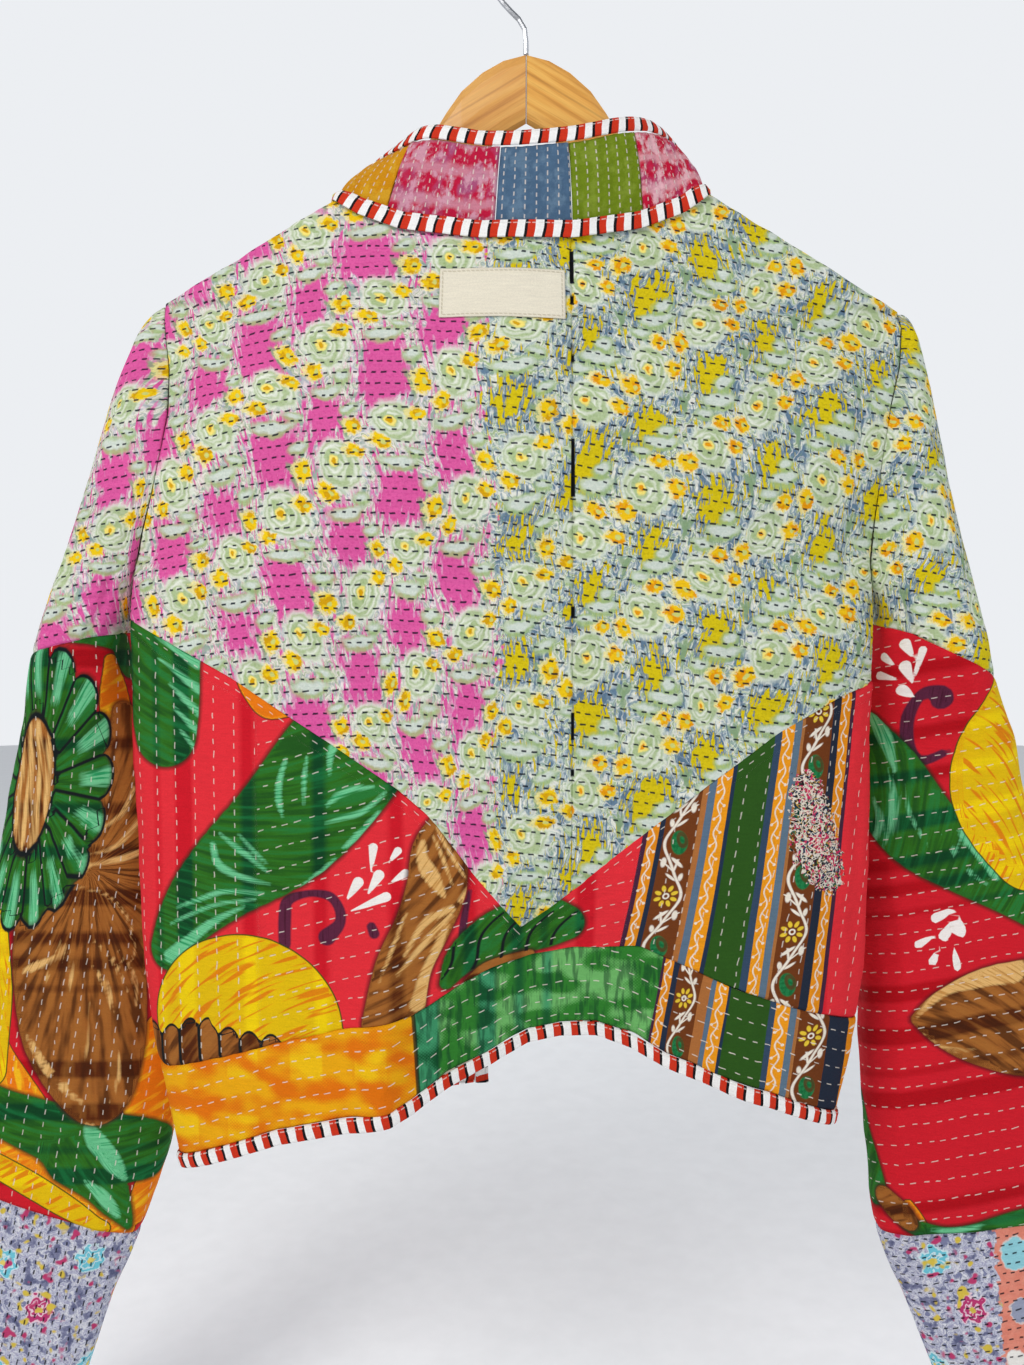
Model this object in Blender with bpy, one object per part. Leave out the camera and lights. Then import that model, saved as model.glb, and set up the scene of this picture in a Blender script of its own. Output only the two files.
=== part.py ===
"""A quilted patchwork kantha jacket hanging open on a contoured wooden hanger.

The origin is inside the crown of the hanger's hook, +Z is up and the jacket's back faces -Y.
Sizes are in millimetres here and become metres where a mesh is made. Every piece of cloth is a
wall about 2 mm thick between an outer and an inner surface, and pieces stand 0.3 mm apart at
their seams. The body is one soft flattened tube that is cut into its panels along the seams.
"""

import math

import bmesh
import bpy
from mathutils import Vector

MM = 0.001

CLOTH = 2.0
SEAM_GAP = 0.3
QUILT_RISE = 0.55
BINDING_WIDE = 9.0
BINDING_PROUD = 1.2
BINDING_DEEP = 3.2

SHOULDER_TOP = -77.0
SHOULDER_SLOPE = 0.565
SHOULDER_ROUND = 25.0
SHOULDER_RADIUS = 10.0
SHOULDER_DRAPE = 160.0
SHOULDER_FORWARD = 17.0
SHOULDER_HALF = 214.0
SIDE_SQUARE = 3.0
SIDE_TURN = 2.4
FRONT_SQUARE = 1.6
FRONT_TURN = 1.45
TURN_BEGINS = -330.0

CENTRE_SEAM_X = 25.0
CENTRE_SEAM_TOP = -171.0
CENTRE_SEAM_FOOT = -537.5

NECK_ROWS = 8
FRONT_NECK_ROWS = 12
SHOULDER_ROWS = 10
ARMHOLE_ROWS = 24
SIDE_ROWS = 6
LEFT_LEG_ROWS = 26
TIP_ROWS = 3
CENTRE_ROWS = SHOULDER_ROWS + ARMHOLE_ROWS + LEFT_LEG_ROWS - NECK_ROWS - TIP_ROWS
RIGHT_LEG_ROWS = NECK_ROWS - 2 + CENTRE_ROWS - SHOULDER_ROWS - ARMHOLE_ROWS - SIDE_ROWS

SLEEVE_SIDES = 16
SLEEVE_SQUARE = 2.8
ARMHOLE_STEP = ARMHOLE_ROWS // (SLEEVE_SIDES // 2)


def table(columns, *rows):
    names = columns.split()
    return [dict(zip(names, row)) for row in rows]


# The body's side edges as the back shows them. open is half the armhole's gap, front to back.
EDGE_LEFT = table(
    "z x open",
    (0, -214, 0),
    (-198.7, -214, 0),
    (-211, -211.5, 8.5),
    (-239, -207.5, 13),
    (-266, -207, 20),
    (-290, -210.5, 24),
    (-312, -215, 24),
    (-336, -222.5, 20),
    (-360, -229, 12),
    (-383, -233, 0),
    (-450, -233, 0),
    (-530, -230, 0),
    (-590, -227, 0),
    (-640, -219, 0),
    (-712, -203, 0),
    (-760, -196, 0),
)
EDGE_RIGHT = table(
    "z x open",
    (0, 221, 0),
    (-202.7, 221, 0),
    (-213, 220.5, 8),
    (-237, 218, 12),
    (-262, 210.5, 19),
    (-286, 205.5, 23),
    (-307, 203, 23),
    (-329, 201.5, 19),
    (-351, 202, 11),
    (-373, 205, 0),
    (-450, 204, 0),
    (-530, 204, 0),
    (-590, 202, 0),
    (-640, 194, 0),
    (-690, 181, 0),
    (-760, 172, 0),
)

# Where the back and the front hang at their middle, and the side seam between them.
DEPTHS = table(
    "z side back front",
    (0, 2, -26, 34),
    (-172, 8, -32, 40),
    (-240, 18, -36, 46),
    (-310, 18, -40, 52),
    (-383, 16, -42, 58),
    (-450, 16, -41, 64),
    (-530, 16, -38, 76),
    (-590, 15, -34, 86),
    (-640, 12, -30, 92),
    (-712, 5, -27, 97),
    (-760, 3, -26, 98),
)

# The middle of the lower back falls away from the viewer between its two sides.
HOLLOW = table(
    "z deep",
    (0, 0),
    (-450, 0),
    (-500, 3),
    (-545, 11),
    (-590, 24),
    (-640, 36),
    (-760, 40),
)
HOLLOW_MIDDLE = 28.0
HOLLOW_REACH = 128.0

# Soft folds: a ridge from one point to another across the cloth, wide and high as given.
FOLDS_BACK = table(
    "x z to_x to_z wide rise",
    (-84, -560, -76, -760, 26, 5.0),
    (-160, -440, -190, -640, 24, 2.6),
    (118, -560, 128, -760, 26, 4.0),
    (172, -400, 150, -600, 22, 2.4),
    (-150, -215, -205, -330, 18, 2.2),
    (158, -215, 200, -325, 18, 2.4),
    (-60, -250, -40, -430, 30, 1.6),
    (95, -260, 80, -420, 28, 1.5),
)
FOLDS_FRONT = table(
    "x z to_x to_z wide rise",
    (-120, -260, -90, -700, 30, 4.0),
    (-170, -330, -165, -700, 24, 3.0),
    (118, -260, 92, -700, 30, 4.2),
    (160, -330, 150, -690, 24, 2.8),
)

NECK_BACK = table(
    "x z",
    (-109, -140.3),
    (-94, -149.8),
    (-70, -160.3),
    (-26, -168.4),
    (CENTRE_SEAM_X, CENTRE_SEAM_TOP + 2.5),
    (63, -160.6),
    (87, -150.0),
    (103.5, -137.2),
)
NECK_FRONT_LEFT = table("x z", (-109, -140.3), (-101, -160), (-82, -184), (-56, -204), (-34, -214))
NECK_FRONT_RIGHT = table("x z", (103.5, -137.2), (96, -160), (78, -184), (52, -204), (32, -214))
FRONT_EDGE_LEFT = table("z x", (-214, -34), (-400, -36), (-712, -33))
FRONT_EDGE_RIGHT = table("z x", (-214, 32), (-400, 31), (-712, 25))

# The yoke's deep V, from the left underarm to its tip and up to the right side seam.
V_LEFT = table("z x", (-383, -233), (-394.5, -207), (-417, -164), (-452, -110), (-478.5, -70.5))
V_LEFT += table("z x", (-494, -53), (-526, -30), (-559.5, -3))
V_RIGHT = table("z x", (-420, 204.5), (-428.5, 176), (-437, 160), (-449, 139), (-476, 101))
V_RIGHT += table("z x", (-499, 71), (-520, 45), (-537.5, 25.5), (-559.5, -3))

BAND_TOP = table(
    "x z",
    (-236, -648),
    (-208.5, -645),
    (-173.5, -634.5),
    (-143, -624.5),
    (-105, -615.5),
    (-64, -608),
    (-44, -596.8),
    (-20, -583.5),
    (3, -575.5),
    (26.5, -572),
    (66, -572),
    (95, -584),
    (121, -594.5),
    (146, -603.5),
    (197, -620),
    (210, -624),
)
HEM_TOP = table(
    "x z",
    (-236, -706),
    (-205, -698.5),
    (-142, -675),
    (-105, -667),
    (-77, -662.5),
    (-64.5, -657),
    (-44.5, -645),
    (-20, -635),
    (1.5, -624.5),
    (20, -621.5),
    (42, -621),
    (62, -627.5),
    (82, -637.5),
    (104.5, -643.5),
    (139, -654.5),
    (180, -672),
    (205, -682),
)
FRONT_SEAM = table("x z", (-236, -383), (-33, -402), (30, -402), (206, -420))
FRONT_BAND_TOP = table("x z", (-236, -648), (-33, -632), (0, -612), (25, -585), (100, -594), (210, -624))
FRONT_HEM_TOP = table("x z", (-236, -703), (-205, -698.5), (-33, -686), (0, -664), (25, -640), (100, -650))
FRONT_HEM_TOP += table("x z", (180, -672), (205, -677))


def read(rows, key, at, want):
    """The column want at one place of the column key, along straight stretches."""
    ordered = rows if rows[0][key] < rows[-1][key] else rows[::-1]
    at = min(max(at, ordered[0][key]), ordered[-1][key])
    for low, high in zip(ordered, ordered[1:]):
        if at <= high[key]:
            part = (at - low[key]) / (high[key] - low[key])
            return low[want] + (high[want] - low[want]) * part
    return ordered[-1][want]


def read_smooth(rows, key, at, want):
    """As read, along one smooth curve through the rows."""
    ordered = rows if rows[0][key] < rows[-1][key] else rows[::-1]
    at = min(max(at, ordered[0][key]), ordered[-1][key])
    last = len(ordered) - 1
    place = next(i for i in range(last) if at <= ordered[i + 1][key])

    def slope(i):
        a, b = ordered[max(i - 1, 0)], ordered[min(i + 1, last)]
        return (b[want] - a[want]) / (b[key] - a[key])

    low, high = ordered[place], ordered[place + 1]
    span = high[key] - low[key]
    t = (at - low[key]) / span
    return (
        low[want] * (1 + 2 * t) * (1 - t) ** 2
        + high[want] * t * t * (3 - 2 * t)
        + slope(place) * span * t * (1 - t) ** 2
        + slope(place + 1) * span * t * t * (t - 1)
    )


def ease(t):
    t = min(max(t, 0.0), 1.0)
    return t * t * (3 - 2 * t)


def quarter_round(t):
    return math.sqrt(max(0.0, 1 - (1 - min(max(t, 0.0), 1.0)) ** 2))


def power(value, exponent):
    return math.copysign(abs(value) ** exponent, value)


def fold_rise(folds, x, z):
    """How far the soft folds lift the cloth at one place."""
    total = 0.0
    for fold in folds:
        run = Vector((fold["to_x"] - fold["x"], fold["to_z"] - fold["z"]))
        away = Vector((x - fold["x"], z - fold["z"]))
        along = away.dot(run) / run.length_squared
        across = abs(away.x * run.y - away.y * run.x) / run.length
        if 0 < along < 1 and across < fold["wide"]:
            ends = math.sin(math.pi * min(along * 1.4, 1 if along < 0.7 else along)) if along < 0.36 else 1.0
            tail = ease((1 - along) / 0.25)
            total += fold["rise"] * ends * tail * (1 + math.cos(math.pi * across / fold["wide"])) / 2
    return total


def shoulder_line(x):
    """Height of the ridge where front and back meet over the hanger's arm."""
    return SHOULDER_TOP - SHOULDER_SLOPE * math.hypot(x, SHOULDER_ROUND)


def shoulder_forward(x):
    """The hanger's arms curve forward, towards +Y, and the shoulders with them."""
    return 2.0 + SHOULDER_FORWARD * (min(abs(x) / SHOULDER_HALF, 1.05)) ** 1.5


def half_depth(face, x, z, edge, inset, top):
    """From the middle of the body out to its cloth, before the sides close it."""
    drop = top - z
    radius = SHOULDER_RADIUS - inset
    reach = abs(read_smooth(DEPTHS, "z", z, face) - read_smooth(DEPTHS, "z", z, "side"))
    if face == "back" and not edge:
        near = min(abs(x - HOLLOW_MIDDLE) / HOLLOW_REACH, 1.0)
        reach -= read_smooth(HOLLOW, "z", z, "deep") * (1 + math.cos(math.pi * near)) / 2
    if not edge:
        reach += fold_rise(FOLDS_BACK if face == "back" else FOLDS_FRONT, x, z)
    return radius * quarter_round(drop / radius) + (reach - SHOULDER_RADIUS) * ease(drop / SHOULDER_DRAPE)


def side_edges(z, inset):
    tuck = inset * min(max((TURN_BEGINS - z) / (TURN_BEGINS + 383.0), 0.0), 1.0)
    return read(EDGE_LEFT, "z", z, "x") + tuck, read(EDGE_RIGHT, "z", z, "x") - tuck


def across_to_x(across, z, inset=0.0):
    """across is 0 at the left edge and 1 at the right, evenly spaced round the body."""
    left, right = side_edges(z, inset)
    turn = power(math.cos(math.pi * across), 2 / SIDE_SQUARE)
    return (left + right) / 2 - (right - left) / 2 * turn


def x_to_across(x, z):
    left, right = side_edges(z, 0.0)
    turn = min(max(((left + right) / 2 - x) * 2 / (right - left), -1.0), 1.0)
    return math.acos(power(turn, SIDE_SQUARE / 2)) / math.pi


def body(face, across, z, inset=0.0):
    """One point of the body's cloth: its outer surface, or its inner one with inset CLOTH."""
    x = across_to_x(across, z, inset)
    left, right = side_edges(z, inset)
    drop = shoulder_line(x) - z
    lower = 1.15 * inset * max(0.0, 1 - drop / SHOULDER_RADIUS)
    top = shoulder_line(x) - 1.15 * inset
    depth = half_depth(face, x, z - lower, False, inset, top)
    out = min(abs(x - (left + right) / 2) * 2 / (right - left), 1.0)
    table_edge = EDGE_LEFT if across < 0.5 else EDGE_RIGHT
    edge_x = left if across < 0.5 else right
    if z < shoulder_line(edge_x):
        gap = max(read(table_edge, "z", z, "open") - inset, 0.0)
        edge = half_depth(face, edge_x, z - lower, True, inset, shoulder_line(edge_x) - 1.15 * inset)
        turning = ease((TURN_BEGINS - z) / (TURN_BEGINS + 383.0))
        square, turn = (SIDE_SQUARE, SIDE_TURN) if face == "back" else (FRONT_SQUARE, FRONT_TURN)
        close = 1 - max(1 - out**square, 0.0) ** (1 / (1 + (turn - 1) * turning))
        depth += (gap - edge) * close
        depth = max(depth, 0.0)
    middle = shoulder_forward(x)
    middle += (read_smooth(DEPTHS, "z", z, "side") - middle) * ease(drop / 150.0)
    sign = -1 if face == "back" else 1
    return Vector((x, middle + sign * (depth + SEAM_GAP / 2), z - lower))


def body_normal(face, across, z):
    step = 0.004
    a = min(max(across, 0.012), 0.988)
    low = min(z, shoulder_line(across_to_x(a, z)) - 3.0)
    around = body(face, a + step, low) - body(face, a - step, low)
    down = body(face, a, low - 2.0) - body(face, a, low + 2.0)
    normal = around.cross(down) if face == "front" else down.cross(around)
    return normal.normalized()


def finish(name, colour, roughness, metallic=0.0):
    material = bpy.data.materials.new(name)
    material.use_nodes = True
    shader = material.node_tree.nodes["Principled BSDF"]
    shader.inputs["Base Color"].default_value = (*colour, 1.0)
    shader.inputs["Roughness"].default_value = roughness
    shader.inputs["Metallic"].default_value = metallic
    material.diffuse_color = (*colour, 1.0)
    return material


def place(name, bm, colour, roughness=0.85, metallic=0.0):
    """Makes the object of one piece from its closed mesh."""
    bmesh.ops.remove_doubles(bm, verts=bm.verts, dist=1e-6)
    bmesh.ops.recalc_face_normals(bm, faces=bm.faces)
    mesh = bpy.data.meshes.new(name)
    bm.to_mesh(mesh)
    bm.free()
    mesh.shade_smooth()
    mesh.set_sharp_from_angle(angle=math.radians(50))
    mesh.materials.append(finish(name, colour, roughness, metallic))
    piece = bpy.data.objects.new(name, mesh)
    bpy.context.scene.collection.objects.link(piece)
    return piece


def every(count, step):
    kept = list(range(0, count, step))
    return kept if kept[-1] == count - 1 else kept + [count - 1]


def wall(name, outer, inner, colour, row_step=1, ring=False, top_rows=()):
    """A closed wall between two grids of points. The inner grid keeps all of its edge points and
    only every few rows between them, with any top_rows."""
    bm = bmesh.new()
    columns, last = len(outer[0]), len(outer) - 1
    rows_kept = sorted({*every(len(outer), row_step), *top_rows})
    out = [[bm.verts.new(point * MM) for point in row] for row in outer]
    inn = {}

    def inside(r, c):
        if (r, c % columns) not in inn:
            inn[r, c % columns] = bm.verts.new(inner[r][c % columns] * MM)
        return inn[r, c % columns]

    steps = columns if ring else columns - 1
    for r in range(last):
        for c in range(steps):
            n = (c + 1) % columns
            bm.faces.new((out[r][c], out[r][n], out[r + 1][n], out[r + 1][c]))
    for top, foot in zip(rows_kept, rows_kept[1:]):
        for c in range(steps):
            between = range(top + 1, foot)
            right = between if c + 1 == steps and not ring else ()
            left = between if c == 0 and not ring else ()
            loop = [inside(top, c), inside(top, c + 1)] + [inside(r, c + 1) for r in right]
            loop += [inside(foot, c + 1), inside(foot, c)] + [inside(r, c) for r in reversed(left)]
            bm.faces.new(loop)
    for r in (0, last):
        for c in range(steps):
            n = (c + 1) % columns
            bm.faces.new((out[r][c], out[r][n], inside(r, n), inside(r, c)))
    if not ring:
        for c in (0, columns - 1):
            for r in range(last):
                bm.faces.new((out[r][c], out[r + 1][c], inside(r + 1, c), inside(r, c)))
    return place(name, bm, colour)


def stretch(start, end, count, line=None, key="z", want="x"):
    """Evenly spaced (x, z) places along a seam, without its first one."""
    places = []
    for i in range(1, count + 1):
        at = start + (end - start) * i / count
        other = read(line, key, at, want)
        places.append((other, at) if key == "z" else (at, other))
    return places


def neck_edge(rows, count):
    """Places along a neckline's table, the same number in each of its stretches, without its first."""
    places = []
    for first, second in zip(rows, rows[1:]):
        places += stretch(first["x"], second["x"], count, rows, "x", "z")
    return places


def armhole(edge):
    """The armhole's places: straight between the rows of its table, so that a sleeve can match them."""
    rows = [row for row in edge if edge[1]["z"] >= row["z"] and row["z"] >= -384]
    places = []
    for upper, lower in zip(rows, rows[1:]):
        places += stretch(upper["z"], lower["z"], ARMHOLE_STEP, edge)
    return places


def shoulder(neck_x, end_x):
    points = [neck_x + (end_x - neck_x) * i / SHOULDER_ROWS for i in range(SHOULDER_ROWS + 1)]
    return [(x, shoulder_line(x)) for x in points]


def panel(name, face, left, right, columns, colour, outer_edge):
    """A panel whose rows run from one edge to the other, ridged along every second row. Its columns
    crowd towards the outer edge, where the cloth turns over the shoulder and into the armhole."""
    steps = [(j / columns) ** 1.4 for j in range(columns + 1)]
    if outer_edge == "right":
        steps = [1 - step for step in reversed(steps)]
    places, inner = [], []
    for (left_x, left_z), (right_x, right_z) in zip(left, right):
        start, end = x_to_across(left_x, left_z), x_to_across(right_x, right_z)
        row = [(start + (end - start) * part, left_z + (right_z - left_z) * part) for part in steps]
        places.append(row)
        inner.append([body(face, across, z, CLOTH) for across, z in row])
    outer = [[body(face, across, z) for across, z in row] for row in places]
    for i in range(3, len(places) - 2, 2):
        for j in range(1, columns):
            apart = (outer[i + 1][j] - outer[i - 1][j]).length
            from_edge = min((outer[i][j] - outer[i][end]).length for end in (0, -1))
            if apart > 9.0 and from_edge > 6.0:
                outer[i][j] += body_normal(face, *places[i][j]) * QUILT_RISE
    return wall(name, outer, inner, colour, row_step=6, top_rows=(1, 2, 4, 9))


def hanging(name, face, tops, top_z, foot_line, rows, colour, proud=None, deep=CLOTH, ridged=True):
    """A panel whose columns hang from one seam line to the next, ridged along every second one."""
    outer, inner = [], []
    feet = []
    for across, z in zip(tops, top_z):
        foot = z
        for _ in range(4):
            foot = read(foot_line, "x", across_to_x(across, foot), "z")
        feet.append(foot)
    for i in range(rows + 1):
        out_row, in_row = [], []
        for j, (across, start, foot) in enumerate(zip(tops, top_z, feet)):
            z = start + (foot - start) * i / rows
            rise = proud[i] if proud else 0.0
            if ridged and j % 2 and 0 < i < rows and 1 < j < len(tops) - 2:
                rise += QUILT_RISE
            point = body(face, across, z)
            if rise:
                point += body_normal(face, across, z) * rise
            out_row.append(point)
            in_row.append(body(face, across, z, deep))
        outer.append(out_row)
        inner.append(in_row)
    wall(name, outer, inner, colour, row_step=rows if proud else 3)
    return feet


def clear():
    for thing in list(bpy.data.objects):
        bpy.data.objects.remove(thing, do_unlink=True)


# Colours of the solids, as linear values near the cloth's average.
PINK_FLORAL = (0.52, 0.34, 0.36)
BLUE_FLORAL = (0.36, 0.42, 0.30)
RED_SARI = (0.42, 0.06, 0.05)
GREEN_SARI = (0.06, 0.20, 0.06)
GREY_FLORAL = (0.30, 0.31, 0.40)
STRIPED = (0.60, 0.25, 0.20)
LABEL_CREAM = (0.80, 0.76, 0.66)
MAPLE = (0.62, 0.36, 0.13)
STEEL = (0.48, 0.48, 0.48)


clear()

# Back yoke: two halves joined at the centre back seam, the lower edge cut to a V.
left_armhole, right_armhole = armhole(EDGE_LEFT), armhole(EDGE_RIGHT)
left_leg = stretch(-383, -559.5, LEFT_LEG_ROWS, V_LEFT)
tip_leg = stretch(CENTRE_SEAM_FOOT, -559.5, TIP_ROWS, V_RIGHT)
right_side = stretch(-373, -420, SIDE_ROWS, EDGE_RIGHT)
right_leg = stretch(-420, CENTRE_SEAM_FOOT, RIGHT_LEG_ROWS, V_RIGHT)
neck_left = neck_edge([row for row in NECK_BACK if row["x"] <= CENTRE_SEAM_X], 2)
neck_right = neck_edge([row for row in NECK_BACK if row["x"] >= CENTRE_SEAM_X][::-1], 2)
seam_top = neck_left[-1][1]
centre = [(CENTRE_SEAM_X, seam_top + (CENTRE_SEAM_FOOT - seam_top) * (i + 1) / CENTRE_ROWS) for i in range(CENTRE_ROWS)]


def shifted(places, x_shift):
    return [(x + x_shift, z) for x, z in places]


yoke_left_edge = shoulder(-109, -214) + left_armhole + left_leg
neck_left_edge = [(-109, shoulder_line(-109))] + neck_left[:-1] + shifted([neck_left[-1]], -SEAM_GAP / 2)
panel(
    "back_yoke_left",
    "back",
    yoke_left_edge,
    neck_left_edge + shifted(centre, -SEAM_GAP / 2) + tip_leg,
    8,
    PINK_FLORAL,
    "left",
)
neck_right_edge = [(103.5, shoulder_line(103.5))] + neck_right[:-1] + shifted([neck_right[-1]], SEAM_GAP / 2)
yoke_right_edge = shoulder(103.5, 221) + right_armhole + right_side + right_leg

panel(
    "back_yoke_right",
    "back",
    neck_right_edge + shifted(centre, SEAM_GAP / 2),
    yoke_right_edge,
    7,
    BLUE_FLORAL,
    "right",
)

# Lower back, band and hem binding: their columns start at the yoke's own points along the V.
V_GAP = 2 * SEAM_GAP
v_places = [(-233, -383)] + left_leg + tip_leg[:-1][::-1] + [(CENTRE_SEAM_X + 0.5, CENTRE_SEAM_FOOT)]
v_places += right_leg[:-1][::-1] + [(204.5, -420)]
columns_back = [x_to_across(x, z) for x, z in v_places]
columns_back[0], columns_back[-1] = 0.0, 1.0
feet = hanging("back_lower", "back", columns_back, [z - V_GAP for _, z in v_places], BAND_TOP, 6, RED_SARI)
feet = hanging("back_band", "back", columns_back, [z - SEAM_GAP for z in feet], HEM_TOP, 4, GREEN_SARI)
HEM_FOOT = [dict(x=row["x"], z=row["z"] - BINDING_WIDE) for row in HEM_TOP]
BINDING_SWELL = [0.5, BINDING_PROUD, BINDING_PROUD, 0.4]
hanging(
    "back_hem_binding",
    "back",
    columns_back,
    [z - SEAM_GAP for z in feet],
    HEM_FOOT,
    3,
    STRIPED,
    BINDING_SWELL,
    BINDING_DEEP,
    False,
)

# Label: a blank strip of cotton stitched to the left half of the yoke.
LABEL = table("x z to_x to_z", (-48, -190, 21, -192.5), (-48.5, -218.5, 21.2, -221))
label_out, label_in = [], []
for i in range(4):
    top, foot = LABEL
    edge = [top[k] + (foot[k] - top[k]) * i / 3 for k in ("x", "z", "to_x", "to_z")]
    out_row, in_row = [], []
    for j in range(9):
        x, z = edge[0] + (edge[2] - edge[0]) * j / 8, edge[1] + (edge[3] - edge[1]) * j / 8
        across = x_to_across(x, z)
        base, normal = body("back", across, z), body_normal("back", across, z)
        out_row.append(base + normal * 0.85)
        in_row.append(base - normal * 0.15)
    label_out.append(out_row)
    label_in.append(in_row)
wall("label", label_out, label_in, LABEL_CREAM)

# Fronts: upper, lower and band on each side of the open middle.
FRONTS = (
    ("left", EDGE_LEFT, left_armhole, -109, -214, NECK_FRONT_LEFT, FRONT_EDGE_LEFT, PINK_FLORAL),
    ("right", EDGE_RIGHT, right_armhole, 103.5, 221, NECK_FRONT_RIGHT, FRONT_EDGE_RIGHT, BLUE_FLORAL),
)
front_across = {}
for side, edge, arm, neck_x, end_x, neck_line, front_edge, colour in FRONTS:
    outer_edge = shoulder(neck_x, end_x) + arm + (right_side if side == "right" else [])
    foot_z = read(FRONT_SEAM, "x", front_edge[0]["x"], "z")
    neck = neck_edge(neck_line, FRONT_NECK_ROWS // 4)
    down = stretch(neck_line[-1]["z"], foot_z, len(outer_edge) - FRONT_NECK_ROWS - 1, front_edge)
    inner_edge = [(neck_x, shoulder_line(neck_x))] + neck + down
    edges = (outer_edge, inner_edge) if side == "left" else (inner_edge, outer_edge)
    panel("front_upper_" + side, "front", *edges, 7, colour, side)
    foot_across = [x_to_across(*outer_edge[-1]), x_to_across(*inner_edge[-1])]
    if side == "right":
        foot_across.reverse()
    front_across[side] = foot_across[0 if side == "right" else 1]
    across = [foot_across[0] + (foot_across[1] - foot_across[0]) * j / 14 for j in range(15)]
    first, last = (outer_edge[-1][1], inner_edge[-1][1]) if side == "left" else (inner_edge[-1][1], outer_edge[-1][1])
    tops = [first + (last - first) * j / 14 - SEAM_GAP for j in range(15)]
    feet = hanging("front_lower_" + side, "front", across, tops, FRONT_BAND_TOP, 8, RED_SARI)
    feet = hanging("front_band_" + side, "front", across, [z - SEAM_GAP for z in feet], FRONT_HEM_TOP, 4, GREEN_SARI)
    foot_line = [dict(x=row["x"], z=row["z"] - BINDING_WIDE) for row in FRONT_HEM_TOP]
    hanging(
        "front_hem_binding_" + side,
        "front",
        across,
        [z - SEAM_GAP for z in feet],
        foot_line,
        3,
        STRIPED,
        BINDING_SWELL,
        BINDING_DEEP,
        False,
    )


# Front edges: the same striped binding runs down both sides of the open middle.
for side, front_edge, away in (("left", FRONT_EDGE_LEFT, 1), ("right", FRONT_EDGE_RIGHT, -1)):
    outer, inner = [], []
    foot = read(FRONT_HEM_TOP, "x", front_edge[-1]["x"], "z") - BINDING_WIDE
    seam_z = read(FRONT_SEAM, "x", front_edge[0]["x"], "z")
    for i in range(25):
        z = front_edge[0]["z"] + (foot - front_edge[0]["z"]) * i / 24
        edge_x = read(front_edge, "z", z, "x") if z > seam_z else across_to_x(front_across[side], z)
        edge_x += away * SEAM_GAP * 1.3
        out_row, in_row = [], []
        for step, rise in zip((0.0, 0.3, 0.7, 1.0), BINDING_SWELL):
            across = x_to_across(edge_x + away * BINDING_WIDE * step, z)
            out_row.append(body("front", across, z) + body_normal("front", across, z) * rise)
            in_row.append(body("front", across, z, BINDING_DEEP))
        outer.append(out_row)
        inner.append(in_row)
    wall("front_edge_binding_" + side, outer, inner, STRIPED, row_step=2)

# Collar: five patches standing round the neck, bound along the top and down both ends.
COLLAR = table(
    "face x top_x top_y top_z",
    ("front", -34, -58, 88, -180),
    ("front", -56, -80, 84, -166),
    ("front", -82, -102, 74, -146),
    ("front", -101, -109, 60, -114),
    ("back", -109, -91, 40, -108),
    ("back", -94, -71, 12, -105.5),
    ("back", -70, -54, -6, -104.5),
    ("back", -26, -20, -14, -111.5),
    ("back", 25, 22, -15, -109.5),
    ("back", 63, 56, -7, -100.5),
    ("back", 87, 73, 9, -96),
    ("back", 103.5, 88, 36, -96),
    ("front", 96, 105.5, 58, -112.5),
    ("front", 78, 98, 74, -146),
    ("front", 52, 76, 84, -166),
    ("front", 32, 56, 88, -180),
)
COLLAR_ROWS = 4
COLLAR_BOW = 2.5
PATCHES = (
    ("mustard", 0.0, 5.55, 21, (0.55, 0.26, 0.01)),
    ("pink", 5.55, 7.16, 7, (0.38, 0.09, 0.19)),
    ("slate", 7.16, 8.02, 5, (0.07, 0.13, 0.20)),
    ("olive", 8.02, 9.15, 7, (0.16, 0.22, 0.01)),
    ("crimson", 9.15, 15.0, 25, (0.57, 0.01, 0.08)),
)


def neck_line(face, x):
    if face == "back":
        return read(NECK_BACK, "x", x, "z")
    return read(NECK_FRONT_LEFT if x < 0 else NECK_FRONT_RIGHT, "x", x, "z")


def collar_station(at):
    """The neck seam's own point, and the collar's top above it, at one place along the collar."""
    low = min(int(at), len(COLLAR) - 2)
    part = at - low
    rows = [COLLAR[min(max(i, 0), len(COLLAR) - 1)] for i in (low - 1, low, low + 1, low + 2)]

    def smooth(key):
        a, b, c, d = (row[key] for row in rows)
        return b + part * (c - a + part * (2 * a - 5 * b + 4 * c - d + part * (3 * (b - c) + d - a))) / 2

    x = rows[1]["x"] + (rows[2]["x"] - rows[1]["x"]) * part
    face = "front" if "front" in (rows[1]["face"], rows[2]["face"]) and x != rows[1]["x"] else rows[1]["face"]
    z = neck_line(face, x)
    return face, x, z, Vector([smooth(key) for key in ("top_x", "top_y", "top_z")])


def neck_point(at):
    face, x, z, _ = collar_station(at)
    return body(face, x_to_across(x, z), z)


def collar_frame(at):
    """Foot, top and the way into the neck, for one column of the collar."""
    top = collar_station(at)[3]
    near = [min(max(at + step, 0.0), len(COLLAR) - 1.0) for step in (-0.06, 0.06)]
    along = neck_point(near[1]) - neck_point(near[0])
    inward = Vector((-along.y, along.x, 0)).normalized()
    inward = inward if inward.dot(Vector((0, 12, 0)) - neck_point(at)) > 0 else -inward
    foot = neck_point(at) + Vector((0, 0, 1)) * 0.5 + inward * 0.2
    return foot, top, inward


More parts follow.
